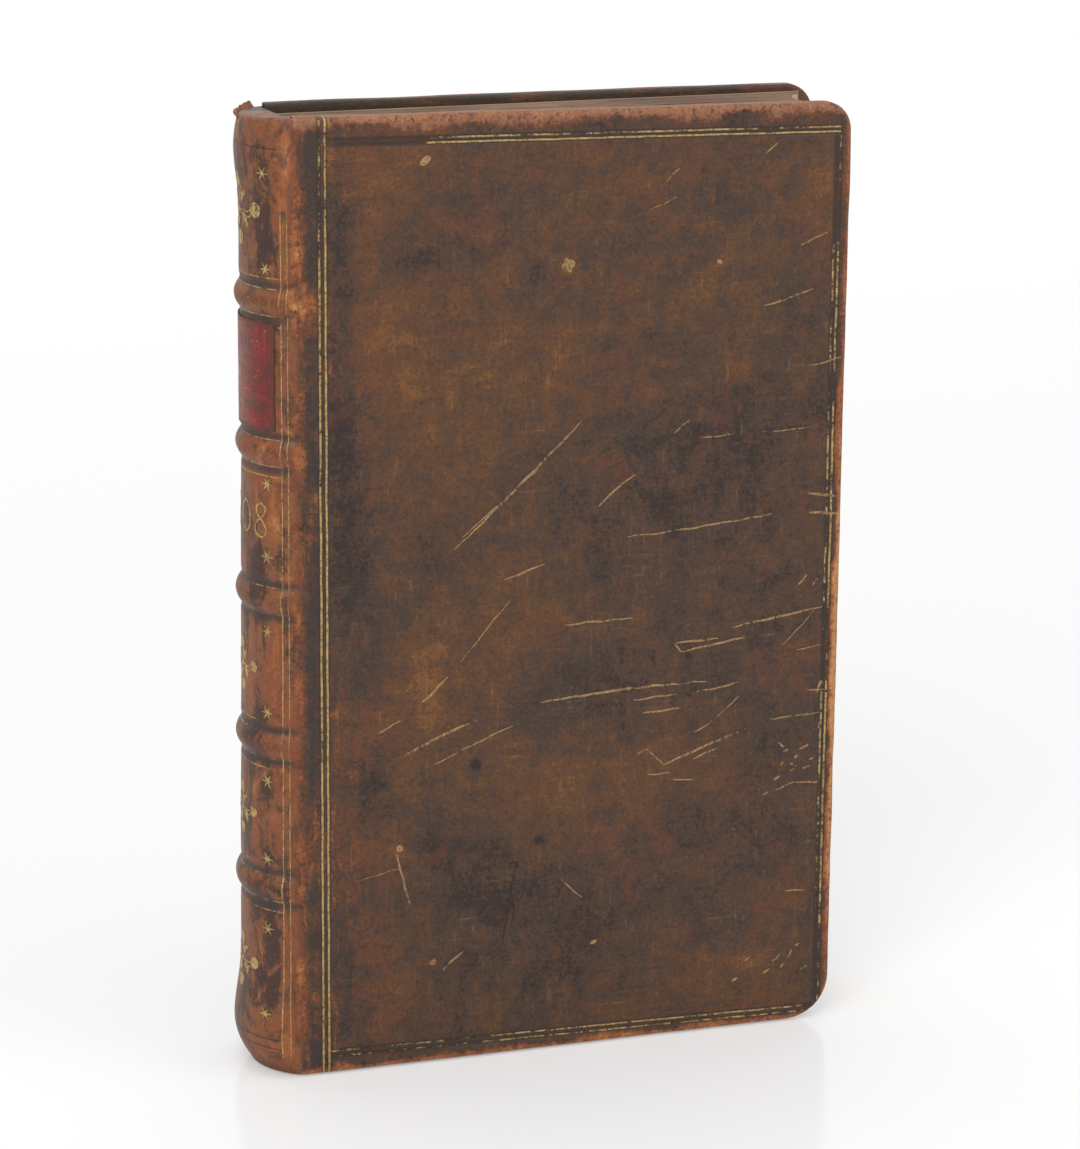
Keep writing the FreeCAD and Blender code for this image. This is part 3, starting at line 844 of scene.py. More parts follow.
def makeCover(name, cover):
    t = coverShape
    side = cover["side"]
    low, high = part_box(name + "_leather")
    outer, inner = (low.y, high.y) if side < 0 else (high.y, low.y)
    fall = book["headFall"][side] * mm
    deselectAll()
    bpy.ops.mesh.primitive_cube_add(size=1, location=(low + high) / 2)
    piece = bpy.context.object
    piece.name = name + "CoverCalf"
    piece.scale = high - low
    bpy.ops.object.transform_apply(location=True, rotation=False, scale=True)
    startEdit(piece)
    markItems(piece, "VERT", lambda c, v: c[0].x > high.x - near and c[0].z > high.z - near)
    bpy.ops.transform.translate(value=(0, 0, -fall))

    # corners, then the rims of both faces
    for isTail, radius in ((True, t["tailCorner"]), (False, t["headCorner"])):
        def atCorner(c, edge):
            across = abs(c[0].y - c[1].y) > near and min(c[0].x, c[1].x) > high.x - near
            return across and (c[0].z < 0.05) == isTail
        markItems(piece, "EDGE", atCorner)
        bpy.ops.mesh.bevel(offset=radius * mm, segments=9, affect="EDGES")
    for depth, width, segments in ((outer, book["rim"], 4), (inner, t["innerRim"], 2)):
        def onRim(c, edge):
            flat = max(abs(p.y - depth) for p in c) < near
            return flat and max(p.x for p in c) > low.x + near
        markItems(piece, "EDGE", onRim)
        bpy.ops.mesh.bevel(offset=width * mm, segments=segments, affect="EDGES")

    # open the spine side; cut the turn-ins free of the middle
    markItems(piece, "FACE", lambda c, f: max(p.x for p in c) < low.x + near)
    bpy.ops.mesh.delete(type="FACE")
    turn = t["turnIn"] * mm
    slope = Vector((fall / (high.x - low.x), 0, 1))
    headCut = Vector((low.x, 0, high.z - turn))
    cutAt((high.x - turn, 0, 0), (1, 0, 0))
    cutAt((0, 0, turn), (0, 0, 1))
    cutAt(headCut, slope)

    def inMiddle(c, face):
        centre = face.calc_center_median()
        flat = abs(centre.y - inner) < near
        return flat and centre.x < high.x - turn and centre.z > turn and (centre - headCut).dot(slope) < 0
    markItems(piece, "FACE", inMiddle)
    bpy.ops.mesh.delete(type="FACE")

    # cuts beside and along each tooled line, then an even net of cuts
    shifts = (-tooling["halfWidth"], 0, tooling["halfWidth"])
    for place in tooling["upright"]:
        for shift in shifts:
            cutAt(((book["jointX"] + place + shift) * mm, 0, 0), (1, 0, 0))
    for height, rise in tooling["level"]:
        for shift in shifts:
            cutAt((book["jointX"] * mm, 0, (height + shift) * mm), (-rise, 0, 1))
    step = cover["cell"] * mm
    for number in range(1, int((high.x - low.x) / step)):
        cutAt((low.x + number * step, 0, 0), (1, 0, 0))
    for number in range(1, int((high.z - low.z) / step) + 1):
        cutAt((0, 0, low.z + number * step), (0, 0, 1))
    bpy.ops.mesh.select_all(action="SELECT")
    bpy.ops.mesh.remove_doubles(threshold=0.012 * mm)
    endOutward()

    # let the leather lie as leather does: low swells, cord ends, pressed lines, worn rims
    for vertex in piece.data.vertices:
        x, y, z = vertex.co / mm
        fromJoint = x - book["jointX"]
        facing = soft(abs(y), *(book["halfThickness"] - inward for inward in t["facing"]))
        lift = coverLift(fromJoint, z, side) - jointDrop(fromJoint)
        lift -= t["rubbedIn"] * max(0, ripple(x, side * 3, z, 6)) * handEdge(fromJoint, z, side)
        for place in tooling["upright"]:
            fence = place < 50 or tooling["fenceZ"][0] < z < tooling["fenceZ"][1]
            if fence and abs(fromJoint - place) < 0.05:
                lift -= tooling["pressed"]
        for height, rise in tooling["level"]:
            within = tooling["reach"][0] < fromJoint < tooling["reach"][1]
            if within and abs(z - height - rise * fromJoint) < 0.05:
                lift -= tooling["pressed"]
        y += side * lift * facing
        rimless = 1 - soft(book["coverWidth"] - fromJoint, 0.0, 2.5)
        x += t["foreWaver"] * rimless * (ripple(x, y, z, 9) - 0.4)
        z += t["headWaver"] * soft(z, 165, 170) * (ripple(x, y, 5, 12) - 0.5)
        vertex.co = Vector((x, y, z)) * mm
    shapeWith(piece, "SOLIDIFY", thickness=t["thickness"] * mm, offset=-1, use_even_offset=True)
    paintSurface(piece)
    smoothed(piece, 50)
    settle(piece, name + "_cover", coverCalf, [name + "_leather"])
    return piece


coverPieces = {name: makeCover(name, cover) for name, cover in covers.items()}


# spine and joints

skinOfSpine = {
    # (radius, height) of the parts turned in under the tail cap and over the head cap
    "tailRows": [(6.2, 0.05), (8.5, 0.0), (10.6, 0.0)],
    "headRows": [(10.6, 172.5), (9.0, 172.42), (7.6, 172.4), (6.2, 172.4)],
    "tailRim": 0.8,
    "headRim": 1.0,
    "headRimZ": 171.6,
    "trim": 0.12,              # how far before the joint line the caps end
    "closing": [(172.4, -1.7), (0.0, 1.9)],      # height of a cap, and how far its edge goes down or up
    "rowSteps": (0.36, 0.8, 1.5),      # between rows at a band, at the ends, and elsewhere
    "nearBand": 4.2,
    "endsZ": (8, 164),
    "wave": 0.28,              # how far the bands wander up and down
    "waveZ": (8, 28, 156, 166),
    "lap": 0.035,              # the spine's leather lies this far over a board's, and tucks in at its end
    "tuck": 0.2,
    "tuckX": (2.1, 2.9),
    "splay": 0.1,
    "clearX": (0.4, 1.5),      # where room for the opened cover starts, before the joint line
    "blend": 0.9,
    "capSlope": 1.0,           # fall of the head cap from the front to the rear
    "capZ": (160, 172.6),
    "jointFrom": 1.57,         # where the joint strip starts, before the joint line
    "bend": 1.3,               # half width, about the joint line, of the two places given to bentAt
    "thickness": 0.35,
    "jointThickness": 0.25,
}


def spineRows():
    # the outline of the spine from inside the tail cap to inside the head cap, as (radius, z)
    t = skinOfSpine

    def rimRows(edge, rim, middle, turns):
        turns = [math.radians(turn) for turn in turns]
        return [(edge - rim + rim * math.cos(turn), middle + rim * math.sin(turn)) for turn in turns]
    z = t["tailRim"]
    rows = t["tailRows"] + rimRows(spineReach(z), z, z, (-90, -66, -44, -22))
    while z < t["headRimZ"]:
        rows.append((spineReach(z), z))
        nearBand = min(abs(z - height) for height in book["cordHeights"])
        if nearBand < t["nearBand"]:
            z += t["rowSteps"][0]
        elif z < t["endsZ"][0] or z > t["endsZ"][1]:
            z += t["rowSteps"][1]
        else:
            z += t["rowSteps"][2]
    rows += rimRows(spineReach(t["headRimZ"]), t["headRim"], t["headRimZ"], (5, 25, 45, 65, 90))
    return rows + t["headRows"]


def makeSpine():
    t = skinOfSpine
    half = spineShape["halfAngle"]
    turn = math.radians(half)
    cut = book["jointX"] - t["trim"]

    def atStart(row):
        radius, z = row
        return Vector((book["spineAxisX"] - radius * math.cos(turn), -radius * math.sin(turn), z)) * mm
    rows = spineRows()
    deselectAll()
    bpy.ops.mesh.primitive_plane_add(size=mm, location=atStart(rows[0]))
    piece = bpy.context.object
    piece.name = "spineCalf"
    bpy.ops.object.transform_apply(location=True, rotation=False, scale=True)
    startEdit(piece)
    bpy.ops.mesh.select_mode(type="VERT")
    bpy.ops.mesh.select_all(action="SELECT")
    bpy.ops.mesh.merge(type="CENTER")
    last = atStart(rows[0])
    for row in rows[1:]:
        place = atStart(row)
        bpy.ops.mesh.extrude_region_move(TRANSFORM_OT_translate={"value": tuple(place - last)})
        last = place
    bpy.ops.mesh.select_all(action="SELECT")
    axis = (book["spineAxisX"] * mm, 0, 0)
    bpy.ops.mesh.spin(steps=spineShape["steps"], angle=math.radians(2 * half), center=axis, axis=(0, 0, 1))
    bpy.ops.mesh.select_all(action="SELECT")
    bpy.ops.mesh.remove_doubles(threshold=0.01 * mm)

    # trim the flat caps at the joint, and close them down to the leaves
    cutAt((cut * mm, 0, 0), (1, 0, 0))

    def pastJoint(c, face):
        centre = face.calc_center_median() / mm
        radius = math.hypot(centre.x - book["spineAxisX"], centre.y)
        return centre.x > cut and radius < 11.6 and (centre.z > 172.2 or centre.z < 0.3)
    markItems(piece, "FACE", pastJoint)
    bpy.ops.mesh.delete(type="FACE")
    for z, down in t["closing"]:
        def onCut(c, edge):
            atCut = max(abs(p.x / mm - cut) for p in c) < 0.02
            return atCut and edge.is_boundary and max(abs(p.z / mm - z) for p in c) < 0.35
        markItems(piece, "EDGE", onCut)
        bpy.ops.mesh.extrude_edges_move(TRANSFORM_OT_translate={"value": (0, 0, down * mm)})
    endOutward()

    # settle it: uneven bands, sloping head cap, sides pressed on to the boards
    for vertex in piece.data.vertices:
        x, y, z = vertex.co / mm
        side = -1 if y < 0 else 1
        out = Vector((x - book["spineAxisX"], y)).normalized()
        shift = leatherWander(x, y, z)
        x += out.x * shift
        y += out.y * shift
        foot, full, last, top = t["waveZ"]
        rise = min(max((z - foot) / (full - foot), 0), 1) * min(max((top - z) / (top - last), 0), 1)
        z += t["wave"] * rise * ripple(x * 0.6, y, z, 14, 2.2)
        fromJoint = x - book["jointX"]
        limit = boardFace(fromJoint, z, side) + t["lap"] - t["tuck"] * soft(fromJoint, *t["tuckX"])
        if fromJoint < 0:
            limit += t["splay"] * -fromJoint
            share = soft(-fromJoint, *t["clearX"])
            limit -= share * max(limit - openRoom(fromJoint, z, side), 0)
        y = side * lower(abs(y), limit, t["blend"])
        foot, top = t["capZ"]
        if z > foot:
            across = (y + book["halfThickness"]) / (2 * book["halfThickness"])
            z -= t["capSlope"] * (z - foot) / (top - foot) * across
        vertex.co = Vector((x, y, z)) * mm

    # the two joints come away as pieces of their own, with no body
    parts = {}
    for name, cover in covers.items():
        startEdit(piece)
        cutAt(((book["jointX"] - t["jointFrom"]) * mm, 0, 0), (1, 0, 0))

        def inJoint(c, face):
            centre = face.calc_center_median() / mm
            radius = math.hypot(centre.x - book["spineAxisX"], centre.y)
            outer = centre.x > book["jointX"] - t["jointFrom"] and radius > 11.2
            return (outer or centre.x > book["jointX"] - 0.1) and centre.y * cover["side"] > 5
        markItems(piece, "FACE", inJoint)
        bpy.ops.mesh.separate(type="SELECTED")
        endEdit()
        parts[name] = [o for o in bpy.context.selected_objects if o != piece][0]
        parts[name].name = name + "JointCalf"
    for part in (piece, *parts.values()):
        thickness = t["thickness" if part == piece else "jointThickness"]
        shapeWith(part, "SOLIDIFY", thickness=thickness * mm, offset=-1, use_even_offset=False)
        paintSurface(part)
        smoothed(part, 55)
    settle(piece, "book_block", coverCalf, ["spine_leather"])
    for name, part in parts.items():
        fromX, toX = book["jointX"] - t["bend"], book["jointX"] + t["bend"]
        bentAt(part, name, covers[name]["side"], fromX, toX, book["halfThickness"])
        settle(part, None, coverCalf)
    return piece


spinePiece = makeSpine()


# torn lip of the head cap

tornLip = {
    "from": -3.0,              # round the rear rim, in degrees
    "to": -56.0,
    "foot": 171.0,
    "rise": (0.7, 1.9),
    "jags": [(0.45, 1, 4, 2.1), (0.3, 6, 2, 0.8)],       # height, place in the noise, size
    "curl": 0.35,
    "lean": 0.55,
    "steps": 46,
    "thickness": 0.32,
}


def makeTornLip():
    t = tornLip
    piece = addGrid("tornHeadLip", t["steps"], 6)
    for vertex in piece.data.vertices:
        along = vertex.co.x + 0.5
        up = vertex.co.y + 0.5
        turn = math.radians(t["from"] + (t["to"] - t["from"]) * along)
        jag = sum(high * ripple(along * 30, y, z, size) for high, y, z, size in t["jags"])
        rise = t["rise"][0] + (t["rise"][1] - t["rise"][0]) * along ** 1.4 + jag
        rise *= soft(along, -0.08, 0.08) * soft(along, 1.03, 0.9)
        curl = t["curl"] * ripple(along * 20, up * 3, 8, 5)
        radius = book["spineRadius"] - 0.05 + t["lean"] * up ** 1.6 + curl * up
        x = book["spineAxisX"] - radius * math.cos(turn)
        vertex.co = Vector((x, -radius * math.sin(turn), t["foot"] + up * rise)) * mm
    startEdit(piece)
    endOutward()
    shapeWith(piece, "SOLIDIFY", thickness=t["thickness"] * mm, offset=0)
    shapeWith(piece, "SUBSURF", levels=1, render_levels=1)
    paintSurface(piece)
    smoothed(piece, 60)
    settle(piece, "book_block", tornFinish())


def tornFinish():
    # the broken edge shows the leather's own tan inside and its dark skin outside
    finish = Finish("tornCalf", 0.7)
    y, z = finish.parts("YZ")
    middle = finish.cloud(1.4, 5, 0.7)
    fibre = finish.cloud(0.35, 4, 0.7, 0.0, (1, 1, 0.3))
    tip = finish.fade(z, 172.1, 172.7) * finish.fade(y, 6.5, 9.0)
    colour = finish.tints(
        paint(100, 58, 41),
        (paint(146, 90, 60), middle, 0.35, 0.62),
        (paint(74, 48, 40), fibre, 0.56, 0.7, 0.7),
        (paint(66, 48, 44), tip * 0.8),
    )
    return finish.done(colour, fibre + middle, 0.7, 0.2)


makeTornLip()


# flat marks: made in mm on the ground, then laid on the leather

def onPath(path, along):
    # a point and its direction on a smooth line through the path's points; along runs from 0 to 1
    spans = len(path) - 1
    span = min(int(along * spans), spans - 1)
    t = along * spans - span
    p0, p1, p2, p3 = (Vector(path[min(max(span + step, 0), spans)]) for step in (-1, 0, 1, 2))
    bend = 2 * p0 - 5 * p1 + 4 * p2 - p3
    twist = 3 * p1 - p0 - 3 * p2 + p3
    place = (2 * p1 + (p2 - p0) * t + bend * t * t + twist * t ** 3) / 2
    ahead = p2 - p0 + 2 * bend * t + 3 * twist * t * t
    return place, ahead.normalized()


def makeStrip(path, width, ends=0.2, cuts=12, wobble=0.0):
    # a flat band along a path; ends says how thin it gets at its ends
    piece = addGrid("strip", cuts, 2)
    for vertex in piece.data.vertices:
        along = vertex.co.x + 0.5
        place, ahead = onPath(path, along)
        swell = ends + (1 - ends) * max(math.sin(math.pi * along), 0) ** 0.6
        sway = wobble * ripple(place.x, 3, place.y, 2.5)
        side = Vector((-ahead.y, ahead.x)) * (vertex.co.y * width * swell + sway)
        vertex.co = Vector((*(place + side), 0))
    return piece


def makeStar(reach, waist, points=6):
    # a ring of points, every second one drawn in
    deselectAll()
    bpy.ops.mesh.primitive_circle_add(vertices=2 * points, radius=reach, fill_type="NGON")
    piece = bpy.context.object
    startEdit(piece)
    markItems(piece, "VERT", lambda c, v: v.index % 2 == 1)
    bpy.ops.transform.resize(value=(waist, waist, 1), center_override=(0, 0, 0))
    bpy.ops.mesh.select_all(action="SELECT")
    bpy.ops.mesh.poke()
    bpy.ops.mesh.subdivide(number_cuts=1)
    endEdit()
    return piece


def copyTo(piece, u, v, size=1.0, turn=0.0):
    # a copy of a flat shape, moved, sized and turned on the ground
    twin = cloned(piece)
    twin.location = (u, v, 0)
    twin.scale = (size, size, 1)
    twin.rotation_euler = (0, 0, math.radians(turn))
    pick(twin)
    bpy.ops.object.transform_apply(location=True, rotation=True, scale=True)
    return twin


def discard(*pieces):
    pick(*pieces)
    bpy.ops.object.delete()


def onSpine(u, v):
    # u runs round the spine in mm, 0 at the back and positive to the front
    return spinePlace(math.degrees(u / book["spineRadius"]), v, 0.5)


def onFront(u, v):
    return Vector((book["jointX"] + u, -book["halfThickness"] - 0.5, v)) * mm


def layOn(piece, target, spot, thickness=0.05):
    # bring a flat shape down on to the leather
    for vertex in piece.data.vertices:
        vertex.co = spot(vertex.co.x, vertex.co.y)
    startEdit(piece)
    endOutward()
    wrap = {"target": target, "wrap_method": "NEAREST_SURFACEPOINT", "wrap_mode": "ABOVE_SURFACE"}
    shapeWith(piece, "SHRINKWRAP", offset=thickness * mm, **wrap)
    shapeWith(piece, "SOLIDIFY", thickness=thickness * mm, offset=0)
    paintSurface(piece)


# gilt stars, flowers and the number on the spine

spineGilding = {
    "starAngle": 35.0,
    "starHeights": [163, 146.5, 108.8, 95.8, 82.4, 67.6, 55.0, 40.6, 27.6, 11.8],
    "starReach": 1.4,
    "starWaist": 0.26,
    "flowers": [(156.0, 1.0), (74.9, 0.76), (48.3, 0.76), (19.8, 0.8)],     # height and size
    "number": 102.2,                   # height of a plain made-up number
    "digitHeight": 6.0,
    "digits": [(-2.9, "two"), (1.8, "nought"), (6.3, "eight")],
}

digitStrokes = {
    "two": [
        ([(-1.3, 1.7), (-0.9, 2.8), (0.2, 3.0), (1.2, 2.2), (1.0, 0.8), (-0.4, -1.2), (-1.6, -2.8)], 0.42),
        ([(-1.6, -2.8), (-0.4, -2.5), (0.6, -2.9), (1.6, -2.5)], 0.5),
    ],
    "nought": [
        ([(0, 3), (-1.3, 1.7), (-1.6, 0), (-1.3, -1.8), (0, -3)], 0.5),
        ([(0, -3), (1.3, -1.8), (1.6, 0), (1.3, 1.7), (0, 3)], 0.36),
    ],
    "eight": [
        ([(0.9, 1.0), (1.2, 2.2), (0.2, 3.0), (-1.0, 2.2), (-0.7, 0.9), (0.6, -0.3), (1.4, -1.5)], 0.42),
        ([(1.4, -1.5), (1.0, -2.7), (0, -3.0), (-1.2, -2.4), (-1.3, -1.0), (-0.2, 0.2), (0.9, 1.0)], 0.36),
    ],
}


def makeFlower():
    # a disc with four round petals on stems and four leaves between
    deselectAll()
    bpy.ops.mesh.primitive_circle_add(vertices=14, radius=1.0, fill_type="TRIFAN")
    disc = bpy.context.object
    leaf = makeStrip([(1.2, 0), (2.6, 0.5), (4.4, 0)], 1.3, 0.1, 8)
    stem = makeStrip([(1.0, 0), (3.0, -0.35), (4.6, 0)], 0.42, 0.5, 8)
    curl = makeStrip([(2.0, -0.3), (3.2, -1.3), (4.3, -1.1), (4.3, -0.5)], 0.34, 0.4, 10)
    parts = [copyTo(disc, 0, 0, 0.75)]
    for quarter in range(4):
        turn = quarter * 90
        across, along = math.cos(math.radians(turn)), math.sin(math.radians(turn))
        parts += [copyTo(disc, 5.6 * across, 5.0 * along, 1.35), copyTo(stem, 0, 0, 1, turn)]
        parts += [copyTo(leaf, 0, 0, 1, turn + 45), copyTo(curl, 0, 0, 1, turn)]
    discard(disc, leaf, stem, curl)
    return joinAll(parts, "flower")


def makeSpineGilding():
    g = spineGilding
    marks = []
    star = makeStar(g["starReach"], g["starWaist"])
    around = math.radians(g["starAngle"]) * book["spineRadius"]
    for number, height in enumerate(g["starHeights"]):
        for side in (-1, 1):
            turn = 30 + 9 * ripple(number, side, 0, 1.7)
            marks.append(copyTo(star, side * around, height, 1 + 0.1 * ripple(number, side, 3, 1.3), turn))
    flower = makeFlower()
    flowers = [copyTo(flower, 0.0, height, size, 4) for height, size in g["flowers"]]
    for u, name in g["digits"]:
        for path, width in digitStrokes[name]:
            stroke = makeStrip(path, width, 0.55, 16)
            marks.append(copyTo(stroke, u, g["number"], g["digitHeight"] / 6))
            discard(stroke)
    discard(star, flower)
    for shapes, name, material in ((marks, "spineGilding", goldMarks), (flowers, "spineFlowers", dullMarks)):
        piece = joinAll(shapes, name)
        layOn(piece, spinePiece, onSpine)
        settle(piece, "book_block", material)


makeSpineGilding()


# title label: thin red goatskin pasted on the second compartment

titleLabel = {
    "halfAngle": 43.6,
    "z": (118.2, 137.3),
    "cells": (76, 26),
    "thickness": 0.2,
    "rows": (133.4, 127.7, 122.2),         # heights of the tooled rows
    "rowHalf": (1.35, 1.5, 1.1),
    "rules": (119.7, 135.8, 130.6, 124.9),
    "pitch": 2.3,
}


def labelFinish():
    finish = Finish("redGoatskin", 0.5)
    fade, line = finish.fade, finish.line
    t = titleLabel
    x, y, z = finish.parts()
    around = finish.maths("ARCTAN2", y, book["spineAxisX"] - x) * book["spineRadius"]
    half = math.radians(t["halfAngle"]) * book["spineRadius"]
    middle = finish.cloud(4.5, 6, 0.65, 0.6)
    small = finish.cloud(0.8, 4, 0.65)
    # pinkish-grey patches, noisy and growing toward the rear side of the label: painted sheen mixed with wear
    worn = middle * 9 - 4.5 + small * 4 - 2 - around
    rim = half - abs(around)
    fromEnds = abs(z - sum(t["z"]) / 2) + (small - 0.5) * 1.6
    soiled = finish.highest(fade(rim + (small - 0.5) * 1.4, 1.7, 0.5), fade(fromEnds, 8.3, 9.6))
    inner = fade(rim, 2.2, 2.8)
    kept = middle * 0.6 + small * 0.6
    gold = dark = 0.0
    for height, rowHalf in zip(t["rows"], t["rowHalf"]):
        slot = abs(finish.maths("PINGPONG", around + height, t["pitch"] / 2) - t["pitch"] / 4)
        lozenge = slot / (t["pitch"] * 0.19) + abs(z - height) / rowHalf
        ringed = fade(abs(lozenge - 0.8), 0.3, 0.16) * inner
        dark = dark + ringed
        gold = gold + ringed * fade(kept, 0.6, 0.72)
    for height in t["rules"]:
        rule = line(z, height, 0.12) * fade(rim, 1.2, 1.6)
        gold = gold + rule * fade(kept, 0.6, 0.74)
        dark = dark + rule
    zig = (finish.maths("PINGPONG", z, 0.55) - 0.275) * 1.6
    border = line(rim, 1.4, 0.14) + line(rim + zig, 2.3, 0.16)
    gold = finish.maths("MINIMUM", gold + border * fade(kept, 0.68, 0.8), 1.0)
    dark = finish.maths("MINIMUM", dark + border, 1.0)
    colour = finish.tints(
        paint(94, 38, 33),
        (paint(146, 38, 38), middle, 0.36, 0.64),
        (paint(84, 46, 48), small, 0.52, 0.7, 0.6),
        # painted sheen and wear: pinkish grey, strongest on the rear side
        (paint(128, 86, 74), worn, 6.5, 1.0, 0.55),
        (paint(78, 52, 46), soiled * 0.8),
        (paint(66, 42, 38), dark * 0.75),
        ("gold", gold * 0.9),
    )
    finish.polish(0.05, 0.4)
    relief = finish.cells(0.45, "SMOOTH_F1") * 0.5 + small * 0.5 - dark * 0.5
    return finish.done(colour, relief, 0.5, 0.16, 0.44 + (small - 0.5) * 0.3 + soiled * 0.12, gold * 0.45)


def makeLabel():
    t = titleLabel
    piece = addGrid("titleLabelSkin", *t["cells"])
    reach = 2 * math.radians(t["halfAngle"]) * book["spineRadius"]
    low, high = t["z"]
    for vertex in piece.data.vertices:
        u = vertex.co.x * reach
        v = low + (vertex.co.y + 0.5) * (high - low)
        if abs(vertex.co.x) > 0.499:
            u -= math.copysign(0.28 * abs(ripple(u, 2, v, 2.6)), u)
        if abs(vertex.co.y) > 0.499:
            v -= math.copysign(0.3 * abs(ripple(u, 5, v, 3.1)), vertex.co.y)
        vertex.co = (u, v, 0)
    layOn(piece, spinePiece, onSpine, t["thickness"])
    smoothed(piece, 50)
    settle(piece, "book_block", labelFinish(), ["title_label"])


makeLabel()


# scratches and specks on the front cover

scratches = [
    # (from the joint, height) at each end, and width
    (28.5, 95.5, 51.9, 117.1, 0.30), (29.6, 97.4, 44.0, 109.0, 0.16), (37.7, 89.3, 45.3, 91.6, 0.28),
    (39.4, 86.1, 29.8, 74.9, 0.20), (27.4, 72.4, 22.6, 68.0, 0.34), (55.1, 101.5, 61.9, 106.8, 0.28),
    (60.6, 95.4, 88.2, 97.6, 0.26), (69.2, 113.8, 72.1, 115.9, 0.28), (74.1, 112.7, 80.7, 112.8, 0.18),
    (85.7, 112.8, 95.1, 113.1, 0.14), (95.0, 101.0, 101.3, 99.9, 0.4), (95.3, 97.4, 101.4, 96.6, 0.4),
    (92.8, 83.4, 95.3, 85.8, 0.28), (96.3, 83.5, 97.6, 85.5, 0.22), (49.0, 80.1, 62.0, 80.3, 0.28),
    (81.1, 77.1, 98.4, 79.4, 0.32), (69.9, 75.0, 78.3, 75.2, 0.32), (69.9, 75.0, 71.2, 73.2, 0.26),
    (71.2, 73.2, 83.5, 75.0, 0.32), (90.4, 72.5, 96.8, 78.8, 0.14), (90.8, 71.2, 98.2, 72.4, 0.16),
    (44.6, 66.0, 76.3, 67.3, 0.36), (62.2, 65.0, 70.6, 65.4, 0.24), (73.5, 65.3, 82.7, 66.6, 0.24),
    (95.7, 63.9, 99.6, 63.6, 0.18), (78.2, 60.2, 82.8, 64.1, 0.2), (88.7, 59.0, 98.5, 59.5, 0.26),
    (64.0, 62.4, 71.4, 62.7, 0.3), (63.6, 153.8, 69.0, 156.0, 0.18), (66.9, 158.9, 69.4, 161.1, 0.2),
    (85.1, 162.7, 88.6, 165.5, 0.18), (85.5, 135.7, 95.0, 138.4, 0.26), (92.3, 146.3, 97.5, 148.5, 0.22),
    (94.4, 124.3, 101.3, 125.7, 0.2), (18.2, 58.2, 32.8, 63.9, 0.38), (24.7, 56.3, 39.6, 62.2, 0.24),
    (14.4, 63.0, 18.8, 65.2, 0.26), (18.0, 40.5, 20.6, 29.3, 0.3), (26.3, 17.2, 30.6, 20.6, 0.3),
    (63.1, 54.7, 65.0, 55.5, 0.3), (65.0, 55.5, 68.3, 52.2, 0.2), (68.3, 52.2, 84.5, 57.7, 0.34),
    (73.9, 52.8, 78.9, 54.6, 0.26), (74.0, 57.7, 77.5, 59.7, 0.22), (65.1, 50.6, 69.5, 50.5, 0.2),
    (70.1, 49.3, 74.2, 48.9, 0.2), (90.1, 45.3, 93.8, 46.5, 0.22), (93.8, 46.5, 98.7, 46.2, 0.28),
    (92.5, 25.5, 96.3, 25.3, 0.22), (48.9, 32.2, 53.0, 28.3, 0.2), (10.8, 35.8, 18.4, 37.6, 0.16),
    (92.9, 50.2, 94.1, 49.4, 0.3), (54.6, 19.3, 55.8, 20.0, 0.5), (82.2, 9.0, 83.5, 9.6, 0.4),
    (47.9, 144.6, 50.3, 145.5, 1.3), (48.5, 146.3, 49.5, 143.8, 0.9), (17.9, 41.3, 19.0, 41.6, 1.0),
    (90.5, 54.5, 91.6, 53.4, 0.3), (91.4, 52.5, 92.6, 52.9, 0.36), (94.6, 52.7, 96.4, 53.5, 0.3),
    (92.6, 48.8, 94.0, 49.1, 0.34), (89.8, 47.2, 90.9, 48.0, 0.3), (95.4, 48.9, 96.8, 49.3, 0.24),
    (93.6, 50.9, 94.4, 51.6, 0.4), (91.0, 49.8, 91.6, 50.6, 0.36), (96.6, 50.6, 97.4, 50.9, 0.3),
    (87.8, 44.6, 88.8, 45.1, 0.26), (90.2, 12.0, 91.8, 13.2, 0.3), (93.4, 12.4, 94.2, 13.8, 0.3),
    (88.6, 9.8, 89.8, 10.6, 0.3), (96.0, 9.8, 97.2, 10.4, 0.26), (84.8, 12.7, 85.7, 13.2, 0.26),
    (91.9, 10.6, 92.6, 11.5, 0.34), (94.8, 14.4, 95.6, 14.9, 0.26), (97.8, 63.4, 98.5, 65.6, 0.36),
    (98.1, 56.4, 98.7, 58.1, 0.3), (24.2, 18.8, 25.4, 19.4, 0.8), (76.6, 144.4, 77.7, 143.9, 0.6),
    (22.2, 163.9, 24.0, 165.2, 1.0),
]

darkMarks = [
    # dark scars and spots: path and width
    ([(40.3, 36.3), (39.0, 28.5), (37.8, 20.9)], 0.34),
    ([(39.2, 31.5), (40.0, 27.8), (39.5, 24.5)], 0.2),
    ([(31.8, 55.2), (32.7, 55.7), (33.6, 55.4)], 1.5),
    ([(43.9, 40.0), (44.6, 40.3), (45.3, 40.0)], 1.2),
]


def makeCoverMarks():
    marks = []
    for number, (u1, v1, u2, v2, width) in enumerate(scratches):
        sag = 0.035 * ripple(number, 2, 7, 1.37)
        middle = ((u1 + u2) / 2 + sag * (v2 - v1), (v1 + v2) / 2 - sag * (u2 - u1))
        cuts = 6 + int(math.hypot(u2 - u1, v2 - v1))
        marks.append(makeStrip([(u1, v1), middle, (u2, v2)], width * 1.3, 0.2, cuts, 0.22))
    scars = [makeStrip(path, width, 0.3, 14, 0.1) for path, width in darkMarks]
    for shapes, name, material in ((marks, "coverScratches", scuffMarks), (scars, "coverScars", scarMarks)):
        piece = joinAll(shapes, name)
        layOn(piece, coverPieces["front"], onFront, 0.04)
        settle(piece, "front_cover", material)


makeCoverMarks()


# the leaves, sewn in gatherings

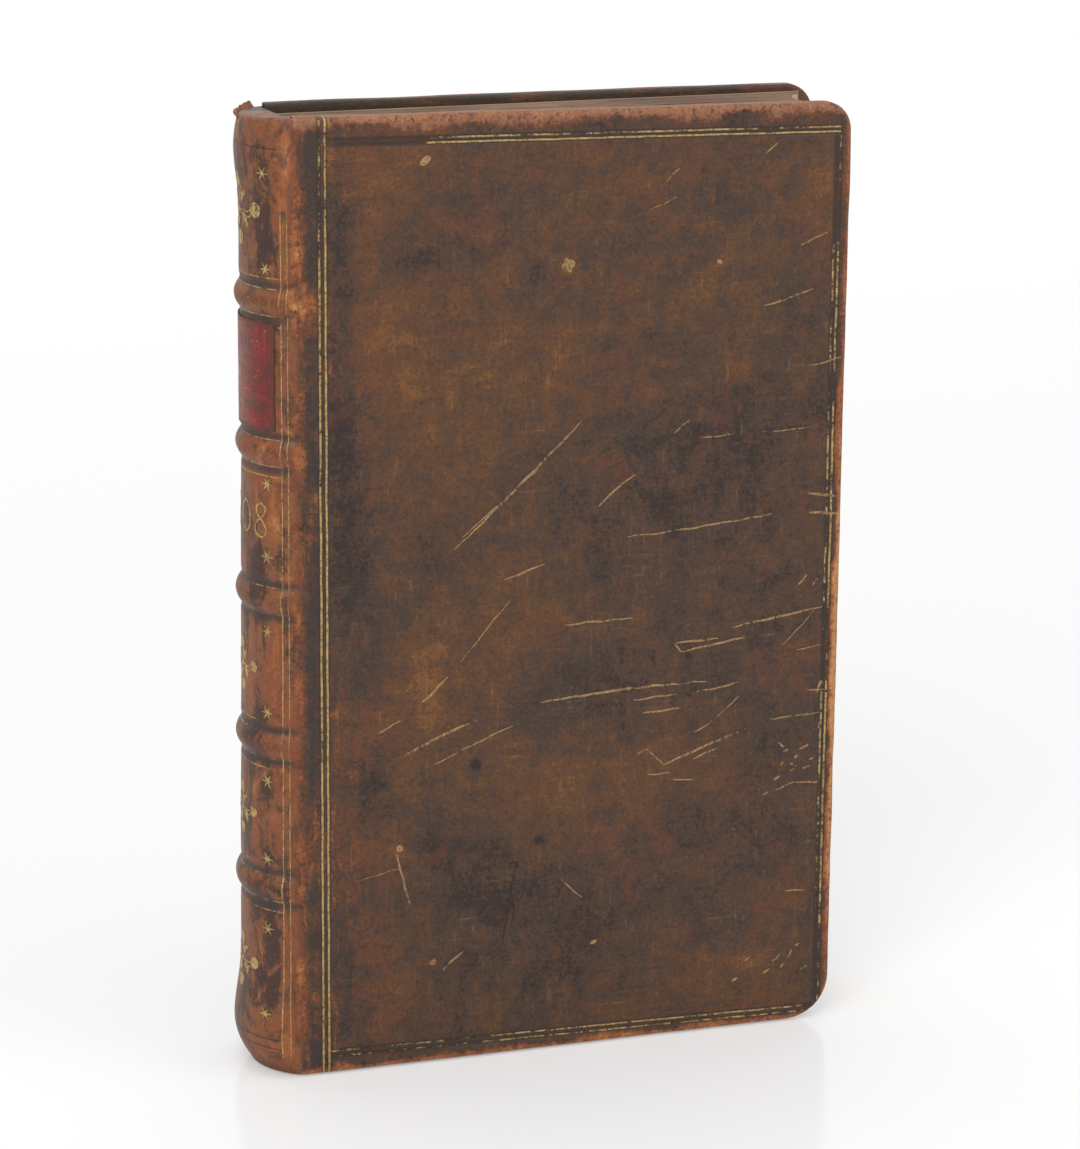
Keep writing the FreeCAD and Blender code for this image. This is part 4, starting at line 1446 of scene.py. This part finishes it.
leaves = {
    "gatherings": 14,
    "hollow": 3.5,             # how far the fore-edge curves in
    "backRadius": 11.763,
    "backHalf": 9.0,
    "foldWear": 0.1,
    "uneven": 0.12,
    "stations": [0.012, 0.024, 0.036, 0.05, 0.07, 0.12, 0.25, 0.4, 0.6, 0.8, 0.93, 0.98],
    "rows": 12,
    "flareX": (-46.95, -47.9), # where the shoulders spread beside the boards
}


def makeLeaves():
    t = leaves
    low, high = (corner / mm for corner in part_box("text_block"))
    tall = high.z - low.z
    count = t["gatherings"]
    half = abs(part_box("rear_free_endpaper")[0].y) / mm - 0.02
    thick = 2 * half / count
    deselectAll()
    bpy.ops.mesh.primitive_cube_add(size=1)
    gathering = bpy.context.object
    gathering.scale = (1, thick, tall)
    bpy.ops.object.transform_apply(location=False, rotation=False, scale=True)
    startEdit(gathering)
    for station in t["stations"]:
        cutAt((station - 0.5, 0, 0), (1, 0, 0))
    for row in range(1, t["rows"]):
        cutAt((0, 0, (row / t["rows"] - 0.5) * tall), (0, 0, 1))
    endEdit()

    axis = low.x + t["backRadius"]
    bow = (half ** 2 + t["hollow"] ** 2) / (2 * t["hollow"])
    middleZ = (low.z + high.z) / 2
    parts = []
    for number in range(count):
        centre = -half + thick * (number + 0.5)
        part = cloned(gathering)
        push = t["uneven"] * ripple(number, 3, 1, 1.31) * 2
        grow = t["uneven"] * ripple(number, 9, 5, 1.47)
        for vertex in part.data.vertices:
            x, y, z = vertex.co
            pinch = t["foldWear"] if abs(y) > thick / 2 - 0.01 else 0
            y += centre
            start = axis - math.sqrt(t["backRadius"] ** 2 - (y / half * t["backHalf"]) ** 2) + 0.15
            end = high.x - t["hollow"] + bow - math.sqrt(bow ** 2 - y ** 2)
            x = start + (x + 0.5) * (end + push - start)
            x -= pinch * soft(x, end - 1.0, end)
            edge = soft(abs(z), tall / 2 - 0.5, tall / 2)
            z = middleZ + z + math.copysign(edge, z) * (grow - pinch)
            widest = math.sqrt(max(t["backRadius"] ** 2 - (axis - x) ** 2, half ** 2))
            y *= 1 + (widest / half - 1) * soft(x, *t["flareX"])
            y += 0.03 * ripple(x, number * 3, z, 18)
            vertex.co = Vector((x, y, z)) * mm
        parts.append(part)
    discard(gathering)
    piece = joinAll(parts, "leafGatherings")
    startEdit(piece)
    endOutward()
    smoothed(piece, 30)
    settle(piece, "book_block", leafFinish(), ["text_block"])


def leafFinish():
    finish = Finish("oldLeafEdges", 0.86)
    [z] = finish.parts("Z")
    sheet = finish.cloud(0.22, 3, 0.7, 0.0, (0.02, 1, 0.02))
    stack = finish.cloud(0.9, 3, 0.6, 0.0, (0.02, 1, 0.02))
    dirt = finish.cloud(11, 6, 0.6, 0.1, (0.6, 1.6, 0.6))
    clean = finish.tints(paint(186, 156, 116), (paint(206, 184, 148), dirt, 0.35, 0.65))
    dusty = finish.tints(paint(98, 74, 58), (paint(138, 110, 88), dirt, 0.35, 0.65))
    colour = finish.tints(
        clean,
        (dusty, z, 170.0, 170.4),
        (paint(88, 68, 54), sheet, 0.46, 0.62, 0.6),
        (paint(120, 92, 70), stack, 0.52, 0.7, 0.5),
        (paint(104, 80, 62), finish.cloud(0.9, 4, 0.65), 0.6, 0.75, 0.45),
    )
    return finish.done(colour, sheet + stack * 0.6, 0.8, 0.12)


makeLeaves()


# the fold of each endpaper, where its pasted half turns into its free half

paperFold = {
    # distance from the middle plane, and x, going from the free leaf round the joint to the board
    "path": [(-44.2, 7.775), (-46.76, 7.775), (-46.87, 7.9), (-46.88, 9.8), (-46.78, 10.12), (-46.66, 10.24),
             (-46.54, 10.12), (-46.46, 9.8), (-46.46, 8.05), (-46.36, 7.875), (-44.6, 7.865)],
    "z": (3.4, 169.4),
    "thickness": 0.03,
    "bendX": (-46.76, -46.5),
    "bendY": 9.0,
}


def makePaperFold(name, side):
    t = paperFold
    low, high = t["z"]
    piece = addGrid(name + "PaperFold", (len(t["path"]) - 1) * 3, 20)
    for vertex in piece.data.vertices:
        place = onPath(t["path"], vertex.co.x + 0.5)[0]
        vertex.co = Vector((place.x, side * place.y, low + (vertex.co.y + 0.5) * (high - low))) * mm
    shapeWith(piece, "SOLIDIFY", thickness=t["thickness"] * mm, offset=0)
    smoothed(piece, 60)
    bentAt(piece, name, side, *t["bendX"], t["bendY"])
    settle(piece, None, agedPaper)


def paperFinish():
    # laid paper, browned at its edges and spotted with age
    finish = Finish("agedPaper", 0.84)
    fade = finish.fade
    x, z = finish.parts("XZ")
    broad = finish.cloud(34, 5, 0.6, 0.6)
    blot = finish.cloud(12, 7, 0.62, 0.15)
    fibre = finish.cloud(0.7, 5, 0.7, 0.0, (1, 1, 0.4))
    laid = finish.maths("SINE", z * 5.2)
    chain = fade(abs(finish.maths("PINGPONG", x + 60, 12.5) - 6.25), 0.3, 0.0)
    foxed = fade(finish.cells(9) + (fibre - 0.5) * 0.2, 0.12, 0.02) * fade(finish.cloud(7, 3), 0.5, 0.6)
    rim = (blot - 0.5) * 9
    ends = ((x, 44, 53), (z, 12, 2), (z, 160, 171), (x, -39, -47))
    border = finish.highest(*(fade(value + rim, low, high) for value, low, high in ends))
    colour = finish.tints(
        paint(200, 180, 146),
        (paint(214, 197, 164), broad, 0.34, 0.66),
        (paint(178, 150, 112), blot, 0.52, 0.72, 0.35),
        (paint(182, 158, 122), fibre, 0.56, 0.7, 0.3),
        (paint(150, 108, 66), foxed * 0.6),
        (paint(150, 114, 76), border * 0.5),
        (paint(150, 120, 84), chain * 0.12),
    )
    return finish.done(colour, laid * 0.12 + chain * 0.3 + finish.cloud(0.5, 4, 0.6), 0.35, 0.08)


agedPaper = paperFinish()
for name, cover in covers.items():
    makePaperFold(name, cover["side"])


# finishes of the pieces that stay as the frame gives them

def boardFinish():
    finish = Finish("pulpBoard", 0.9)
    fleck = finish.cloud(0.7, 5, 0.7)
    layer = finish.cloud(0.3, 3, 0.6, 0.0, (0.05, 1, 0.05))
    colour = finish.tints(
        paint(134, 112, 88),
        (paint(164, 142, 114), finish.cloud(8, 5, 0.6), 0.35, 0.65),
        (paint(84, 68, 56), fleck, 0.58, 0.72, 0.7),
        (paint(100, 82, 66), layer, 0.55, 0.7, 0.4),
    )
    return finish.done(colour, fleck + layer, 0.6, 0.15)


def hempFinish():
    finish = Finish("hempCord", 0.88)
    x, y, z = finish.parts()
    twist = finish.maths("SINE", (x + y + z * 1.6) * 7.5)
    hair = finish.cloud(0.25, 4, 0.7, 0.0, (0.4, 0.4, 1))
    colour = finish.tints(
        paint(112, 88, 58),
        (paint(178, 150, 108), twist, -0.6, 0.6),
        (paint(90, 68, 48), hair, 0.55, 0.7, 0.5),
    )
    return finish.done(colour, twist * 0.6 + hair, 0.8, 0.2)


def liningFinish():
    finish = Finish("wastePaperLining", 0.88)
    blot = finish.cloud(5, 6, 0.65, 0.8)
    colour = finish.tints(
        paint(164, 136, 98),
        (paint(194, 170, 132), blot, 0.35, 0.65),
        (paint(120, 84, 52), finish.cloud(3, 4, 0.6), 0.55, 0.7, 0.6),
    )
    return finish.done(colour, finish.cloud(0.6, 5, 0.7) + blot * 0.5, 0.5, 0.12)


def threadFinish():
    # two colours of thread wound round the endband core in turn
    finish = Finish("endbandThread", 0.8)
    y, z = finish.parts("YZ")
    colour = finish.tints(
        paint(150, 122, 84),
        (paint(96, 70, 60), finish.maths("PINGPONG", y, 0.9), 0.4, 0.5),
        (paint(70, 54, 46), finish.cloud(1.2, 4, 0.7), 0.5, 0.7, 0.6),
    )
    return finish.done(colour, finish.maths("SINE", (y + z * 0.4) * 16), 0.7, 0.12)


nodeFinishes = [
    # words in a node's name, and its finish
    ("_board", boardFinish()),
    ("cord", hempFinish()),
    ("lining", liningFinish()),
    ("band", threadFinish()),
    ("paste", agedPaper),
    ("endpaper", agedPaper),
]
for nodeName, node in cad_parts.items():
    for word, material in nodeFinishes:
        if word in nodeName:
            for slot in node.material_slots:
                slot.material = material
print("frame pieces finished")


# stage, lights and camera

studio = {
    "floorSize": 6,
    "floorY": 1.2,
    "floorZ": -0.0003,
    "floorTone": (0.92, 0.92, 0.92, 1),
    "nearWhite": 0.3,          # share of plain white in the floor near the book, and where it is full, in mm
    "farY": (60.0, 700.0),
    "skyLight": 0.55,
    "skySeen": 1.0,
    "lookAt": (0, 0, 0.08),
}


def makeStage():
    t = studio
    deselectAll()
    bpy.ops.mesh.primitive_plane_add(size=t["floorSize"], location=(0, t["floorY"], t["floorZ"]))
    floor = bpy.context.object
    floor.name = "studioFloor"
    bpy.ops.object.transform_apply(location=True, rotation=False, scale=True)
    finish = Finish("whiteTable", 0.14)
    finish.preset({"Base Color": t["floorTone"], "Specular IOR Level": 0.35})
    seen = finish.node("ShaderNodeLightPath", (), (), "Is Camera Ray")
    white = finish.node("ShaderNodeEmission", (), {"Color": (1, 1, 1, 1), "Strength": 1.0})
    lit = Value(finish, finish.shader.outputs[0])
    [deep] = finish.parts("Y")
    share = seen * (t["nearWhite"] + finish.fade(deep, *t["farY"]) * (1 - t["nearWhite"]))
    mixed = finish.node("ShaderNodeMixShader", (), {0: share, 1: lit, 2: white})
    finish.tree.links.new(mixed.socket, finish.tree.nodes["Material Output"].inputs["Surface"])
    floor.data.materials.append(finish.material)


def makeWorld():
    # white where it is seen, straight or mirrored, and softer where it lights
    world = bpy.data.worlds.new("softWhite")
    bpy.context.scene.world = world
    world.use_nodes = True
    tree = world.node_tree
    tree.nodes.clear()
    out = tree.nodes.new("ShaderNodeOutputWorld")
    path = tree.nodes.new("ShaderNodeLightPath")
    either = tree.nodes.new("ShaderNodeMixShader")
    for place, strength in ((1, studio["skyLight"]), (2, studio["skySeen"])):
        shade = tree.nodes.new("ShaderNodeBackground")
        shade.inputs["Color"].default_value = (1, 1, 1, 1)
        shade.inputs["Strength"].default_value = strength
        tree.links.new(shade.outputs[0], either.inputs[place])
    both = path.outputs["Is Camera Ray"]
    for name in ("Is Glossy Ray", "Is Transmission Ray"):
        highest = tree.nodes.new("ShaderNodeMath")
        highest.operation = "MAXIMUM"
        tree.links.new(both, highest.inputs[0])
        tree.links.new(path.outputs[name], highest.inputs[1])
        both = highest.outputs[0]
    tree.links.new(both, either.inputs[0])
    tree.links.new(either.outputs[0], out.inputs["Surface"])


lamps = [
    # name, place, size, strength
    ("keyLamp", (-0.75, -1.1, 1.15), 0.9, 13.0),
    ("fillLamp", (1.1, -0.9, 0.7), 1.0, 5.0),
    ("topLamp", (0.0, 0.1, 1.5), 1.0, 6.0),
]


def makeLamps():
    for name, place, size, strength in lamps:
        deselectAll()
        bpy.ops.object.light_add(type="AREA", location=place)
        lamp = bpy.context.object
        lamp.name = name
        lamp.data.size = size
        lamp.data.energy = strength
        toBook = Vector(studio["lookAt"]) - Vector(place)
        lamp.rotation_euler = toBook.to_track_quat("-Z", "Y").to_euler()


view = {"place": (-0.22765, -0.68155, 0.2842), "yaw": 18.59, "pitch": 15.37, "roll": 0.5, "lens": 130.15}


def makeCamera():
    yaw, pitch, roll = (math.radians(view[name]) for name in ("yaw", "pitch", "roll"))
    ahead = Vector((math.sin(yaw) * math.cos(pitch), math.cos(yaw) * math.cos(pitch), -math.sin(pitch)))
    right = Vector((math.cos(yaw), -math.sin(yaw), 0))
    up = right.cross(ahead)
    tiltedRight = math.cos(roll) * right + math.sin(roll) * up
    tiltedUp = math.cos(roll) * up - math.sin(roll) * right
    turn = Matrix((tiltedRight, tiltedUp, -ahead)).transposed()
    deselectAll()
    bpy.ops.object.camera_add()
    camera = bpy.context.object
    camera.name = "photoCamera"
    camera.matrix_world = Matrix.Translation(Vector(view["place"])) @ turn.to_4x4()
    camera.data.lens = view["lens"]
    camera.data.sensor_width = 36
    camera.data.clip_start = 0.01
    bpy.context.scene.camera = camera


makeStage()
makeWorld()
makeLamps()
makeCamera()
bpy.context.scene.view_settings.view_transform = "Standard"
